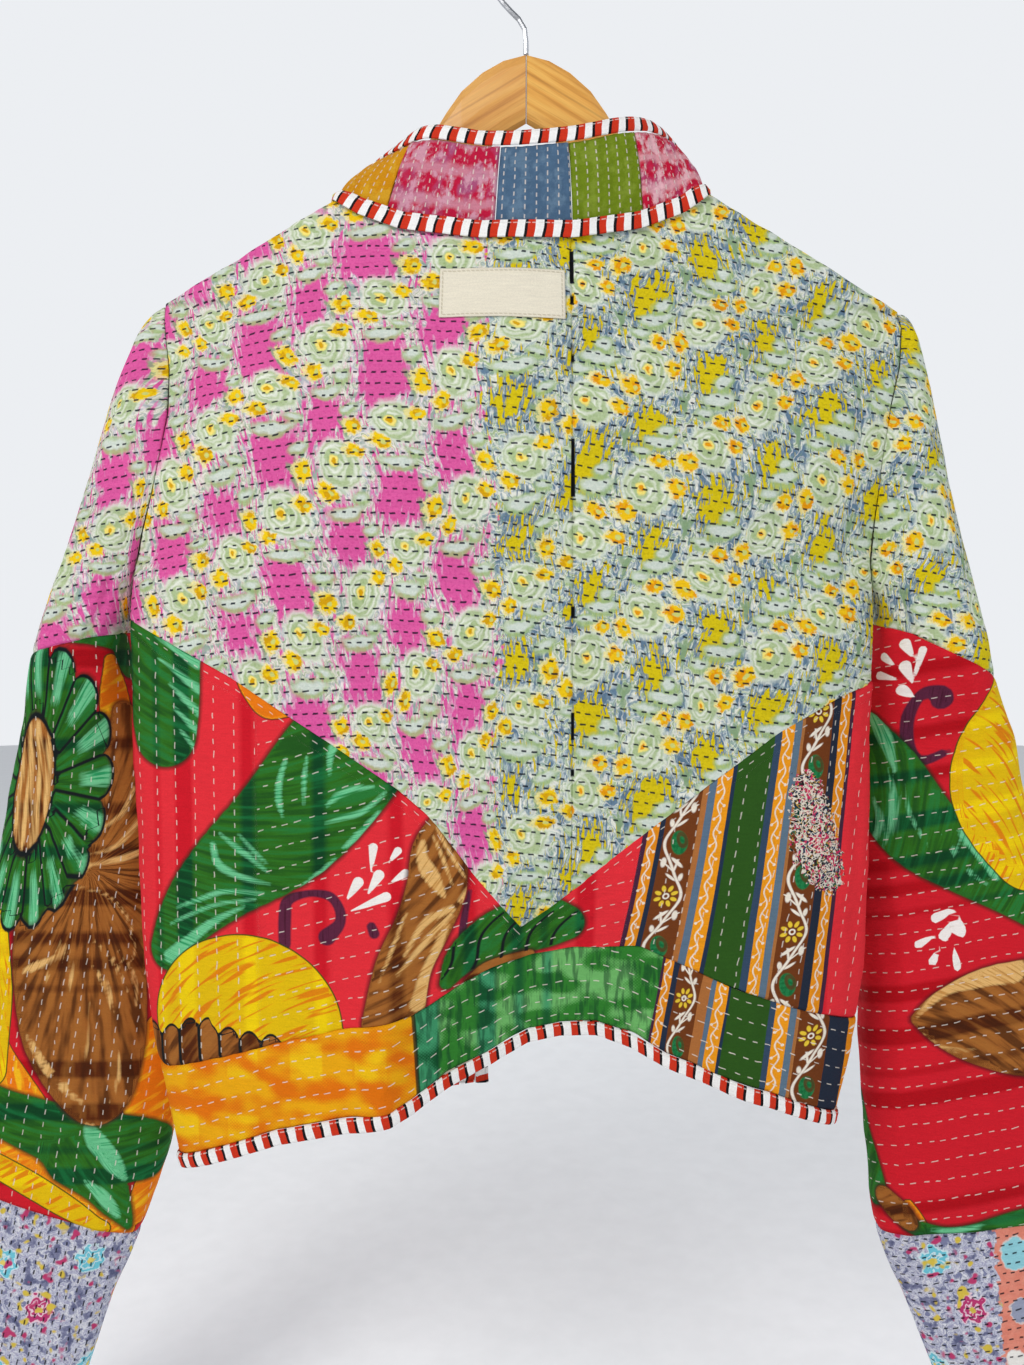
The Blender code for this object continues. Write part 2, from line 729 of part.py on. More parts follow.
def collar_column(at, deep=CLOTH, start=0.0, end=1.0, rows=COLLAR_ROWS):
    foot, top, inward = collar_frame(at)
    near = [collar_frame(min(max(at + step, 0.0), len(COLLAR) - 1.0)) for step in (-0.1, 0.1)]
    outer, inner = [], []
    for i in range(rows + 1):
        part = start + (end - start) * i / rows
        up = (top - foot).normalized()
        along = near[1][0].lerp(near[1][1], part) - near[0][0].lerp(near[0][1], part)
        face = along.cross(up).normalized()
        face = face if face.dot(inward) > 0 else -face
        way = inward.lerp(face, ease(part * 3)).normalized()
        point = foot.lerp(top, part) - way * COLLAR_BOW * math.sin(math.pi * part)
        outer.append(point)
        inner.append(point + way * deep)
    return outer, inner


def collar_rows(columns):
    outer, inner = zip(*columns)
    return [list(row) for row in zip(*outer)], [list(row) for row in zip(*inner)]


def binding_part(at):
    foot, top, _ = collar_frame(at)
    return 1 - BINDING_WIDE / (top - foot).length


last_station = len(COLLAR) - 1.0
for name, start, end, count, colour in PATCHES:
    length = (neck_point(min(start + 0.1, last_station)) - neck_point(max(start - 0.1, 0.0))).length
    gap = 0.15 * (0.2 if 0.0 < start < last_station else 0.1) / max(length, 1.0)
    first = start + (gap if start > 0 else 0.0)
    length = (neck_point(min(end + 0.1, last_station)) - neck_point(end - 0.1)).length
    final = end - (0.03 / max(length, 1.0) if end < last_station else 0.0)
    columns = []
    for j in range(count + 1):
        at = first + (final - first) * j / count
        outer, inner = collar_column(at, end=binding_part(at) - 0.01)
        if j % 2 and 0 < j < count:
            for i in range(1, COLLAR_ROWS):
                outer[i] += (outer[i] - inner[i]).normalized() * QUILT_RISE
        columns.append((outer, inner))
    wall("collar_" + name, *collar_rows(columns), colour, row_step=2)

swell_out = (0.4, 1.1, 1.0, 0.1)
top_columns = []
for j in range(42):
    at = last_station * j / 41
    outer, inner = collar_column(at, start=binding_part(at), rows=3)
    for i, rise in enumerate(swell_out):
        way = (outer[i] - inner[i]).normalized() * rise
        outer[i], inner[i] = outer[i] + way, inner[i] - way
    top_columns.append((outer, inner))
wall("collar_top_binding", *collar_rows(top_columns), STRIPED)

# Neck binding: lies over the seam between the collar and the body.
neck_out, neck_in = [], []
neck_places = [0.5, 14.5] + [j / 3 for j in range(2, 44)]
for near in (4.0, 11.0):
    neck_places += [near + step for step in (-0.17, -0.08, 0.08, 0.17)]
for at in sorted(neck_places):
    foot, top, _ = collar_frame(at)
    face, x, z, _ = collar_station(at)
    before, after = collar_station(at - 0.05), collar_station(at + 0.05)
    tangent = Vector((after[1] - before[1], after[2] - before[2])).normalized()
    away = Vector((tangent.y, -tangent.x))
    away = away if away.dot(Vector((x, z + 100.0))) > 0 else -away
    low_x, low_z = x + away.x * 5.0, z + away.y * 5.0
    low_z = min(low_z, shoulder_line(low_x) - 0.05)
    low_across = x_to_across(low_x, low_z)
    low, low_way = body(face, low_across, low_z), body_normal(face, low_across, low_z)
    stood, behind = collar_column(at, start=4.5 / (top - foot).length, rows=1)
    high, high_way = stood[0], (stood[0] - behind[0]).normalized()
    if at in (4.0, 11.0):
        low_way = Vector((0, 0, 1))
    middle_way = (low_way + high_way).normalized()
    middle = neck_point(at)
    neck_out.append([high + high_way * 3.2, middle + middle_way * 3.4, low + low_way * 2.6])
    neck_in.append([high + high_way * 2.1, middle + middle_way * 2.1, low + low_way * 1.5])
wall("neck_binding", neck_out, neck_in, STRIPED)

# Sleeves: rings from the outer edge to the inner one, turned from the armhole's slope to the arm's.
SLEEVE_LEFT = table(
    "part out_x out_z in_x in_z y half",
    ("upper", -214, -198.7, -233, -383, 18, 24),
    ("upper", -230, -214.5, -233.6, -384.2, 21, 30),
    ("upper", -252.7, -277, -234.8, -386.5, 29, 38),
    ("upper", -274.6, -345, -236.3, -389, 35, 43),
    ("middle", -295, -405, -238, -392, 39, 44),
    ("middle", -307.5, -441, -237, -428, 49, 38),
    ("middle", -320.5, -479, -222, -466, 56, 33),
    ("middle", -332, -534, -213, -526, 57, 30),
    ("middle", -347, -610, -216, -604, 55, 27),
    ("middle", -358.5, -675, -220, -690, 50, 23),
    ("lower", -366.6, -727, -244, -768, 45.5, 20),
    ("lower", -377, -804, -262, -812, 37, 18),
    ("cuff", -386, -882, -285, -888, 29, 16),
)
SLEEVE_RIGHT = table(
    "part out_x out_z in_x in_z y half",
    ("upper", 221, -202.7, 205, -373, 18, 23),
    ("upper", 231, -213.5, 205.6, -374.5, 21, 29),
    ("upper", 247, -284, 206.8, -377.5, 29, 37),
    ("upper", 265, -352, 208.4, -382, 35, 42),
    ("middle", 283, -420, 210, -387, 40, 43),
    ("middle", 303, -462, 209, -428, 50, 37),
    ("middle", 315, -501, 203, -468, 56, 33),
    ("middle", 328, -556, 203, -536, 56, 30),
    ("middle", 339, -619, 212, -602, 54, 27),
    ("middle", 347.7, -694, 215.5, -692, 49, 23),
    ("lower", 354, -751, 222.5, -765.5, 43, 20),
    ("lower", 357.5, -800, 241, -813, 37, 18),
    ("cuff", 362, -882, 269, -888, 29, 16),
)
SLEEVE_RINGS = dict(upper=4, middle=4, lower=6)
SLEEVE_COLOURS = dict(upper=PINK_FLORAL, middle=RED_SARI, lower=GREY_FLORAL)
ARMHOLE_FADE = 4.0


def sleeve_row(rows, at):
    low = min(int(at), len(rows) - 2)
    part = at - low
    near = [rows[min(max(i, 0), len(rows) - 1)] for i in (low - 1, low, low + 1, low + 2)]
    found = {}
    for key in ("out_x", "out_z", "in_x", "in_z", "y", "half"):
        a, b, c, d = (row[key] for row in near)
        found[key] = b + part * (c - a + part * (2 * a - 5 * b + 4 * c - d + part * (3 * (b - c) + d - a))) / 2
    return found


def oval(row, inset):
    """The sleeve's ring of points at one place of its table, first the outer edge, then the back."""
    out, inn = Vector((row["out_x"], row["y"], row["out_z"])), Vector((row["in_x"], row["y"], row["in_z"]))
    middle, arm = (out + inn) / 2, (out - inn) / 2
    arm *= (arm.length - inset) / arm.length
    points = []
    for k in range(SLEEVE_SIDES):
        angle = 2 * math.pi * k / SLEEVE_SIDES
        long, deep = power(math.cos(angle), 2 / SLEEVE_SQUARE), power(math.sin(angle), 2 / SLEEVE_SQUARE)
        points.append(middle + arm * long + Vector((0, -1, 0)) * (row["half"] - inset) * deep)
    return points


def armhole_ring(edge, across, inset, outward):
    """The body's own armhole, moved out by the seam's gap."""
    rows = [row for row in edge if edge[1]["z"] >= row["z"] and row["z"] >= -384]
    top = body("back", across, rows[0]["z"], inset)
    foot = Vector((rows[-1]["x"], 16.0, rows[-1]["z"] + inset * 1.15))
    ring = [Vector((top.x, top.y + SEAM_GAP / 2, top.z))]
    ring += [body("back", across, row["z"], inset) for row in rows[1:-1]]
    ring += [foot]
    ring += [body("front", across, row["z"], inset) for row in reversed(rows[1:-1])]
    return [point + Vector((outward * SEAM_GAP, 0, 0)) for point in ring]


def sleeve_ring(rows, at, inset, first):
    points = oval(sleeve_row(rows, at), inset)
    fade = max(0.0, 1 - at / ARMHOLE_FADE) ** 2
    start = oval(rows[0], inset)
    return [point + (real - plain) * fade for point, real, plain in zip(points, first, start)]


for side, rows, edge, across, outward in (
    ("left", SLEEVE_LEFT, EDGE_LEFT, 0.0, -1),
    ("right", SLEEVE_RIGHT, EDGE_RIGHT, 1.0, 1),
):
    first_outer = armhole_ring(edge, across, 0.0, outward)
    first_inner = armhole_ring(edge, across, CLOTH, outward)
    parts = [row["part"] for row in rows]
    bounds = [0, parts.index("middle"), parts.index("lower"), len(rows) - 1]
    for name, start, end in zip(("upper", "middle", "lower"), bounds, bounds[1:]):
        count = (end - start) * SLEEVE_RINGS[name]
        span = Vector((rows[end]["out_x"] - rows[end - 1]["out_x"], rows[end]["out_z"] - rows[end - 1]["out_z"]))
        outer, inner = [], []
        for i in range(count + 1):
            at = start + (end - start) * i / count
            shift = Vector()
            if i == 0 and start:
                shift = Vector((0, 0, -SEAM_GAP))
            ring = [point + shift for point in sleeve_ring(rows, at, 0.0, first_outer)]
            bare = [point + shift for point in sleeve_ring(rows, at, CLOTH, first_inner)]
            if i % 2 and 1 < i < count - 1:
                for k in range(SLEEVE_SIDES):
                    ring[k] += (ring[k] - bare[k]).normalized() * QUILT_RISE
            outer.append(ring)
            inner.append(bare)
        wall(f"sleeve_{side}_{name}", outer, inner, SLEEVE_COLOURS[name], row_step=6, ring=True)

# Hanger: two shaped wooden halves that meet in the middle, and a wire hook.
HANGER = table(
    "x top foot y thick",
    (0.15, -62, -100.5, 1.5, 12),
    (13, -64.5, -107.5, 2.7, 12),
    (25, -70.5, -116, 3.8, 12),
    (37, -80.5, -125, 4.8, 12),
    (45.5, -92, -133, 5.6, 12),
    (54, -105.5, -141, 6.3, 12),
    (60, -115.5, -147, 6.7, 12),
    (66, -123, -152, 7.0, 12),
    (75, -131, -158, 7.3, 11.0),
    (86, -138, -164, 7.6, 10),
    (97, -144, -169, 7.7, 8.6),
    (109, -149, -173.5, 7.8, 7.6),
)
HANGER_END = 207.0
for side, sign in (("left", -1), ("right", 1)):
    outer = []
    stations = [(row["x"], row["top"], row["foot"], row["y"], row["thick"]) for row in HANGER]
    for i in range(1, 9):
        x = 109 + (HANGER_END - 109) * i / 8
        top = shoulder_line(x) - 7.5
        stations.append((x, top, top - 25.5 + 12.0 * i / 8, shoulder_forward(x) - 0.4, 8.0))
    for i, (x, top, foot, y, thick) in enumerate(stations):
        ring = []
        shrink = 0.45 if i == len(stations) - 1 else 1.0
        centre_z, tall = (top + foot) / 2, (top - foot) / 2 * shrink
        for k in range(12):
            angle = 2 * math.pi * k / 12
            up, along_y = power(math.cos(angle), 0.62), power(math.sin(angle), 0.75)
            ring.append(Vector((sign * x, y + along_y * thick / 2 * shrink, centre_z + up * tall)))
        outer.append(ring)
    bm = bmesh.new()
    rings = [[bm.verts.new(point * MM) for point in ring] for ring in outer]
    for ring, following in zip(rings, rings[1:]):
        for k in range(12):
            n = (k + 1) % 12
            bm.faces.new((ring[k], ring[n], following[n], following[k]))
    bm.faces.new(rings[0])
    bm.faces.new(rings[-1])
    place("hanger_" + side, bm, MAPLE, 0.4)

HOOK_WIRE = 1.6
HOOK_LOOP = 18.0 + HOOK_WIRE
hook_line = [(0.0, -61.6), (0.0, -54.0), (-0.6, -47.8), (-4.0, -42.2), (-8.6, -37.8), (-12.6, -33.6)]
for i in range(19):
    angle = math.radians(219 - 250 * i / 18)
    hook_line.append((HOOK_LOOP * math.cos(angle), -18.0 + HOOK_LOOP * math.sin(angle)))
bm = bmesh.new()
rings = []
for i, (x, z) in enumerate(hook_line):
    before, after = hook_line[max(i - 1, 0)], hook_line[min(i + 1, len(hook_line) - 1)]
    along = Vector((after[0] - before[0], 0, after[1] - before[1])).normalized()
    across = Vector((along.z, 0, -along.x))
    ring = []
    for k in range(8):
        angle = 2 * math.pi * k / 8
        way = across * math.cos(angle) + Vector((0, 1, 0)) * math.sin(angle)
        ring.append(bm.verts.new((Vector((x, 1.5 * min(1.0, max(0.0, -z / 60.0)), z)) + way * HOOK_WIRE) * MM))
    rings.append(ring)
for ring, following in zip(rings, rings[1:]):
    for k in range(8):
        n = (k + 1) % 8
        bm.faces.new((ring[k], ring[n], following[n], following[k]))
bm.faces.new(rings[0])
bm.faces.new(rings[-1])
place("hook", bm, STEEL, 0.3, 1.0)
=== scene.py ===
"""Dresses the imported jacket: thin quilted cloth on every solid, its prints, stitches and bindings.

The cloth is worked out in millimetres, in the solids' own frame: the back faces -Y and +Z is up.
"""

import math

import bmesh
import bpy
import numpy as np
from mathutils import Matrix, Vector


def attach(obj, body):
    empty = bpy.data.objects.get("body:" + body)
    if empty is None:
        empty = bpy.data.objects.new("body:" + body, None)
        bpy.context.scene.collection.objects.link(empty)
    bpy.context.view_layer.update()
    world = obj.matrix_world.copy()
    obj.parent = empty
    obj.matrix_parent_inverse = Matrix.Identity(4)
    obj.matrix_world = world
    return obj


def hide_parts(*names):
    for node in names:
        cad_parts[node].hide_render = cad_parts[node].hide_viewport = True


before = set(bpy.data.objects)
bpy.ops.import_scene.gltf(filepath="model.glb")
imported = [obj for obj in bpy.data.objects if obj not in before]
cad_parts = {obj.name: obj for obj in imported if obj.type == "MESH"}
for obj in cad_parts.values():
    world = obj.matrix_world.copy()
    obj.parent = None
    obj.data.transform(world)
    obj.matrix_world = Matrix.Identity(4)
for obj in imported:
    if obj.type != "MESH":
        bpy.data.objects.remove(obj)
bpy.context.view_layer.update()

# The room: a plain pale floor under the hanging jacket, soft daylight that is brightest from beyond
# it, and big lamps, one from the upper left and one from the right. The camera stands close behind
# the jacket's back, as the photographer did, and looks two degrees down.
PHOTO_TALL, LENS_PIXELS = 1365, 1100
CAMERA_AT = (-0.0081, -0.640, -0.3986)
FLOOR_Z = -0.95
LAMPS = (
    # name, place, aimed at, size, watts, colour
    ("key", (-1.1, -1.5, 0.75), (0.0, 0.0, -0.45), 1.0, 24.0, (1.0, 0.98, 0.95)),
    ("fill", (1.5, -1.3, 0.05), (0.0, 0.0, -0.45), 1.6, 9.0, (0.94, 0.97, 1.0)),
    ("rear", (0.4, 1.7, 0.9), (0.0, 0.0, -0.4), 1.6, 10.0, (1.0, 1.0, 1.0)),
)

camera = bpy.data.objects.new("camera", bpy.data.cameras.new("camera"))
camera.data.sensor_fit = "VERTICAL"
camera.data.sensor_height = camera.data.sensor_width = 36.0
camera.data.lens = 36.0 * LENS_PIXELS / PHOTO_TALL
camera.data.clip_start, camera.data.clip_end = 0.02, 50.0
camera.location = CAMERA_AT
camera.rotation_euler = (math.radians(88.0), 0.0, 0.0)
bpy.context.scene.collection.objects.link(camera)
bpy.context.scene.camera = camera

for name, place, aim, size, watts, colour in LAMPS:
    lamp = bpy.data.objects.new(name, bpy.data.lights.new(name, "AREA"))
    lamp.data.shape, lamp.data.size = "DISK", size
    lamp.data.energy, lamp.data.color = watts, colour
    lamp.location = place
    lamp.rotation_euler = (Vector(aim) - Vector(place)).to_track_quat("-Z", "Y").to_euler()
    bpy.context.scene.collection.objects.link(lamp)

world = bpy.data.worlds.new("soft daylight")
world.use_nodes = True
kinds = ("ShaderNodeTexCoord", "ShaderNodeSeparateXYZ", "ShaderNodeValToRGB")
direction, parts, ramp = [world.node_tree.nodes.new(kind) for kind in kinds]
for place, colour in ((0.0, (0.32, 0.33, 0.35, 1.0)), (1.0, (0.84, 0.86, 0.89, 1.0))):
    ramp.color_ramp.elements[int(place)].position = place * 0.35
    ramp.color_ramp.elements[int(place)].color = colour
world.node_tree.links.new(direction.outputs["Generated"], parts.inputs[0])
world.node_tree.links.new(parts.outputs["Y"], ramp.inputs[0])
world.node_tree.links.new(ramp.outputs[0], world.node_tree.nodes["Background"].inputs["Color"])
bpy.context.scene.world = world
# the printed colours show as they are given
bpy.context.scene.view_settings.view_transform = "Standard"


class Value:
    """One value in a material: what Python's operators do to it adds Math nodes."""

    def __init__(self, finish, socket):
        self.finish, self.socket = finish, socket

    def math(self, operation, *others):
        return self.finish.node("Math", [self, *others], operation=operation)

    def turned(self, operation, other):
        return self.finish.node("Math", [other, self], operation=operation)

    def __add__(self, other):
        return self.math("ADD", other)

    def __sub__(self, other):
        return self.math("SUBTRACT", other)

    def __mul__(self, other):
        return self.math("MULTIPLY", other)

    def __truediv__(self, other):
        return self.math("DIVIDE", other)

    def __pow__(self, other):
        return self.math("POWER", other)

    def __mod__(self, other):
        return self.math("FLOORED_MODULO", other)

    def __radd__(self, other):
        return self.turned("ADD", other)

    def __rsub__(self, other):
        return self.turned("SUBTRACT", other)

    def __rmul__(self, other):
        return self.turned("MULTIPLY", other)

    def __rtruediv__(self, other):
        return self.turned("DIVIDE", other)

    def __neg__(self):
        return self.math("MULTIPLY", -1.0)

    def __abs__(self):
        return self.math("ABSOLUTE")

    def inside(self, soft=0.2):
        """1 where the value is above nought, with an edge as wide as soft."""
        return self.finish.node("Math", [self, 1.0 / soft, 0.5], operation="MULTIPLY_ADD", use_clamp=True)

    def low(self, other):
        return self.math("MINIMUM", other)

    def high(self, other):
        return self.math("MAXIMUM", other)

    def floor(self):
        return self.math("FLOOR")

    def sine(self):
        return self.math("SINE")


def rgb(red, green, blue):
    """A printed colour, given from 0 to 255, as the renderer's own linear values."""
    given = (red, green, blue)
    light = [c / 255 / 12.92 if c < 10.3 else ((c / 255 + 0.055) / 1.055) ** 2.4 for c in given]
    return (*light, 1.0)


class Finish:
    """A material under making, with one method for every node but the operators' own."""

    def __init__(self, name, roughness=0.85, metallic=0.0, sheen=0.0, shine=0.12):
        self.colour = None
        self.material = bpy.data.materials.new(name)
        self.material.use_nodes = True
        self.tree = self.material.node_tree
        self.shader = self.tree.nodes["Principled BSDF"]
        self.shader.inputs["Roughness"].default_value = roughness
        self.shader.inputs["Metallic"].default_value = metallic
        self.shader.inputs["Sheen Weight"].default_value = sheen
        self.shader.inputs["Sheen Roughness"].default_value = 0.5
        self.shader.inputs["Specular IOR Level"].default_value = shine

    def node(self, kind, inputs=(), out=0, **settings):
        node = self.tree.nodes.new("ShaderNode" + kind)
        for key, setting in settings.items():
            setattr(node, key, setting)
        for key, given in inputs.items() if isinstance(inputs, dict) else enumerate(inputs):
            if isinstance(given, Value):
                self.tree.links.new(given.socket, node.inputs[key])
            else:
                node.inputs[key].default_value = given
        return Value(self, node.outputs[out])

    def blend(self, share, first, second):
        return self.node("Mix", {0: share, 6: first, 7: second}, out=2, data_type="RGBA")

    def ink(self, share, colour):
        """Lays one more colour over the finish's own, where its share is above nought."""
        self.colour = self.blend(share, self.colour, colour)

    def shade(self, colour, factor):
        """A colour made darker or lighter by one number."""
        grey = self.node("CombineXYZ", [factor, factor, factor])
        return self.node("VectorMath", [colour, grey], operation="MULTIPLY")

    def ramp(self, value, *stops, kind="LINEAR"):
        """Colours that follow one value: each stop is its place and its colour."""
        made = self.node("ValToRGB", [value])
        ramp = made.socket.node.color_ramp
        ramp.interpolation = kind
        while len(ramp.elements) < len(stops):
            ramp.elements.new(1.0)
        for element, (place, colour) in zip(ramp.elements, stops):
            element.position, element.color = place, colour
        return made

    def steps(self, value, size, *stripes):
        """Bands of flat colour: each stripe is its width and its colour, all in one size."""
        stops, place = [], 0.0
        for width, colour in stripes:
            stops.append((place, colour))
            place += width / size
        return self.ramp(value / size, *stops, kind="CONSTANT")

    def noise(self, vector, size, detail=2.0, rough=0.5, out=0):
        """Soft noise with cells of about one size, from 0 to 1."""
        inputs = {"Vector": vector, "Scale": 1.0 / size, "Detail": detail, "Roughness": rough}
        return self.node("TexNoise", inputs, out=out)

    def streaks(self, x, y, z=0.0, **settings):
        """The same noise over places that are already scaled, each way by its own number."""
        return self.noise(self.join(x, y, z), 1.0, **settings)

    def split(self, vector):
        made = self.node("SeparateXYZ", [vector]).socket.node
        return [Value(self, socket) for socket in made.outputs]

    def join(self, x, y, z=0.0):
        return self.node("CombineXYZ", [x, y, z])

    def along(self, name="cloth"):
        """The cloth's own millimetres: across to the right, and up."""
        metres = self.node("UVMap", uv_map=name)
        place = self.node("VectorMath", [metres, (1000.0, 1000.0, 0.0)], operation="MULTIPLY")
        across, up, _ = self.split(place)
        return across, up, place

    def surface(self, roughness=None, raised=None, deep=0.3):
        self.tree.links.new(self.colour.socket, self.shader.inputs["Base Color"])
        if roughness is not None:
            self.tree.links.new(roughness.socket, self.shader.inputs["Roughness"])
        if raised is not None:
            bump = self.node("Bump", {"Strength": 1.0, "Distance": deep * 0.001, "Height": raised})
            self.tree.links.new(bump.socket, self.shader.inputs["Normal"])
        return self.material


def add_object(name, bm, *materials):
    """Makes one finished object at the origin from its mesh."""
    mesh = bpy.data.meshes.new(name)
    bm.to_mesh(mesh)
    bm.free()
    mesh.shade_smooth()
    for material in materials:
        mesh.materials.append(material)
    piece = bpy.data.objects.new(name, mesh)
    bpy.context.scene.collection.objects.link(piece)
    return piece


paper = Finish("pale floor", roughness=0.9)
grain = paper.noise(paper.node("TexCoord", out=3), 0.02, detail=3.0)
paper.colour = paper.ramp(grain, (0.3, rgb(240, 242, 244)), (0.7, rgb(244, 246, 248)))
paper.surface()
bm = bmesh.new()
bmesh.ops.create_circle(bm, cap_ends=True, segments=96, radius=6.0)
bmesh.ops.translate(bm, verts=bm.verts, vec=(0.0, 0.0, FLOOR_Z))
floor = add_object("floor", bm, paper.material)

# The jacket's body: one soft flattened tube of quilted cotton that its panels are cut from. The
# numbers are those of the solids, so that each panel's thin cloth lies on its solid's own form.
# Two panels overlap by 0.3 mm where they join, each in the groove of their seam.
SEAM_GAP = -0.3
SHOULDER_TOP, SHOULDER_SLOPE, SHOULDER_ROUND = -77.0, 0.565, 25.0
SHOULDER_RADIUS, SHOULDER_DRAPE, SHOULDER_FORWARD, SHOULDER_HALF = 10.0, 160.0, 17.0, 214.0
SIDE_SQUARE, SIDE_TURN, FRONT_SQUARE, FRONT_TURN = 3.0, 2.4, 1.6, 1.45
TURN_BEGINS, TURN_ENDS, MIDDLE_DRAPE = -330.0, -383.0, 150.0
ARMHOLE_FOOT, UNDERARM_Y = -384.0, 16.0


def table(columns, *rows):
    """A short table as one array for each of its named columns, in the order of the first."""
    return {name: np.array([row[i] for row in rows], float) for i, name in enumerate(columns.split())}


EDGE_LEFT = table(
    "z x open",
    (0, -214, 0), (-198.7, -214, 0), (-211, -211.5, 8.5), (-239, -207.5, 13), (-266, -207, 20),
    (-290, -210.5, 24), (-312, -215, 24), (-336, -222.5, 20), (-360, -229, 12), (-383, -233, 0),
    (-450, -233, 0), (-530, -230, 0), (-590, -227, 0), (-640, -219, 0), (-712, -203, 0), (-760, -196, 0),
)
EDGE_RIGHT = table(
    "z x open",
    (0, 221, 0), (-202.7, 221, 0), (-213, 220.5, 8), (-237, 218, 12), (-262, 210.5, 19), (-286, 205.5, 23),
    (-307, 203, 23), (-329, 201.5, 19), (-351, 202, 11), (-373, 205, 0), (-450, 204, 0), (-530, 204, 0),
    (-590, 202, 0), (-640, 194, 0), (-690, 181, 0), (-760, 172, 0),
)
DEPTHS = table(
    "z side back front",
    (0, 2, -26, 34), (-172, 8, -32, 40), (-240, 18, -36, 46), (-310, 18, -40, 52), (-383, 16, -42, 58),
    (-450, 16, -41, 64), (-530, 16, -38, 76), (-590, 15, -34, 86), (-640, 12, -30, 92), (-712, 5, -27, 97),
    (-760, 3, -26, 98),
)
HOLLOW = table("z deep", (0, 0), (-450, 0), (-500, 3), (-545, 11), (-590, 24), (-640, 36), (-760, 40))
HOLLOW_MIDDLE, HOLLOW_REACH = 28.0, 128.0
FOLDS = dict(
    # x z to_x to_z wide rise
    back=(
        (-84, -560, -76, -760, 26, 5.0), (-160, -440, -190, -640, 24, 2.6), (118, -560, 128, -760, 26, 4.0),
        (172, -400, 150, -600, 22, 2.4), (-150, -215, -205, -330, 18, 2.2), (158, -215, 200, -325, 18, 2.4),
        (-60, -250, -40, -430, 30, 1.6), (95, -260, 80, -420, 28, 1.5),
    ),
    front=(
        (-120, -260, -90, -700, 30, 4.0), (-170, -330, -165, -700, 24, 3.0), (118, -260, 92, -700, 30, 4.2),
        (160, -330, 150, -690, 24, 2.8),
    ),
)


def read(rows, key, at, want):
    """The column want at places of the column key, along straight stretches."""
    order = np.argsort(rows[key], kind="stable")
    return np.interp(at, rows[key][order], rows[want][order])


def read_smooth(rows, key, at, want):
    """The same column along one smooth curve through the rows."""
    order = np.argsort(rows[key], kind="stable")
    keys, wanted = rows[key][order], rows[want][order]
    last = len(keys) - 1
    ends = [(max(i - 1, 0), min(i + 1, last)) for i in range(last + 1)]
    slopes = np.array([(wanted[b] - wanted[a]) / (keys[b] - keys[a]) for a, b in ends])
    at = np.clip(at, keys[0], keys[-1])
    low = np.clip(np.searchsorted(keys, at, side="left") - 1, 0, last - 1)
    span = keys[low + 1] - keys[low]
    t = (at - keys[low]) / span
    return (
        wanted[low] * (1 + 2 * t) * (1 - t) ** 2
        + wanted[low + 1] * t * t * (3 - 2 * t)
        + slopes[low] * span * t * (1 - t) ** 2
        + slopes[low + 1] * span * t * t * (t - 1)
    )


def ease(t):
    t = np.clip(t, 0.0, 1.0)
    return t * t * (3 - 2 * t)


def power(value, exponent):
    return np.sign(value) * np.abs(value) ** exponent


def between(a, b, c, d, t):
    """From b to c on the smooth curve through four neighbours, t from 0 to 1."""
    return b + t * (c - a + t * (2 * a - 5 * b + 4 * c - d + t * (3 * (b - c) + d - a))) / 2


def along_line(row, x, z):
    """How far along one crease a place is, from 0 to 1, and how far from its line, signed."""
    run_x, run_z = row[2] - row[0], row[3] - row[1]
    long = math.hypot(run_x, run_z)
    part = ((x - row[0]) * run_x + (z - row[1]) * run_z) / long**2
    away = ((x - row[0]) * run_z - (z - row[1]) * run_x) / long
    return part, away


def fold_rise(folds, x, z):
    total = np.zeros(np.broadcast(x, z).shape)
    for row in folds:
        part, away = along_line(row, x, z)
        wide, rise = row[4:]
        ends = np.where(part < 0.36, np.sin(np.pi * np.minimum(part * 1.4, 1.0)), 1.0)
        hump = rise * ends * ease((1 - part) / 0.25) * (1 + np.cos(np.pi * away / wide)) / 2
        total += np.where((part > 0) & (part < 1) & (np.abs(away) < wide), hump, 0.0)
    return total


def shoulder_line(x):
    return SHOULDER_TOP - SHOULDER_SLOPE * np.hypot(x, SHOULDER_ROUND)


def half_depth(face, x, z, edge):
    """From the middle of the body out to its cloth, before the sides close it."""
    drop = shoulder_line(x) - z
    reach = np.abs(read_smooth(DEPTHS, "z", z, face) - read_smooth(DEPTHS, "z", z, "side"))
    if face == "back" and not edge:
        near = np.minimum(np.abs(x - HOLLOW_MIDDLE) / HOLLOW_REACH, 1.0)
        reach = reach - read_smooth(HOLLOW, "z", z, "deep") * (1 + np.cos(np.pi * near)) / 2
    if not edge:
        reach = reach + fold_rise(FOLDS[face], x, z)
    turn = np.sqrt(np.maximum(0.0, 1 - (1 - np.clip(drop / SHOULDER_RADIUS, 0.0, 1.0)) ** 2))
    return SHOULDER_RADIUS * turn + (reach - SHOULDER_RADIUS) * ease(drop / SHOULDER_DRAPE)


def side_edges(z):
    return read(EDGE_LEFT, "z", z, "x"), read(EDGE_RIGHT, "z", z, "x")


def x_to_across(x, z):
    left, right = side_edges(z)
    turn = np.clip(((left + right) / 2 - x) * 2 / (right - left), -1.0, 1.0)
    return np.arccos(power(turn, SIDE_SQUARE / 2)) / np.pi


def across_to_x(across, z):
    left, right = side_edges(z)
    return (left + right) / 2 - (right - left) / 2 * power(np.cos(np.pi * across), 2 / SIDE_SQUARE)


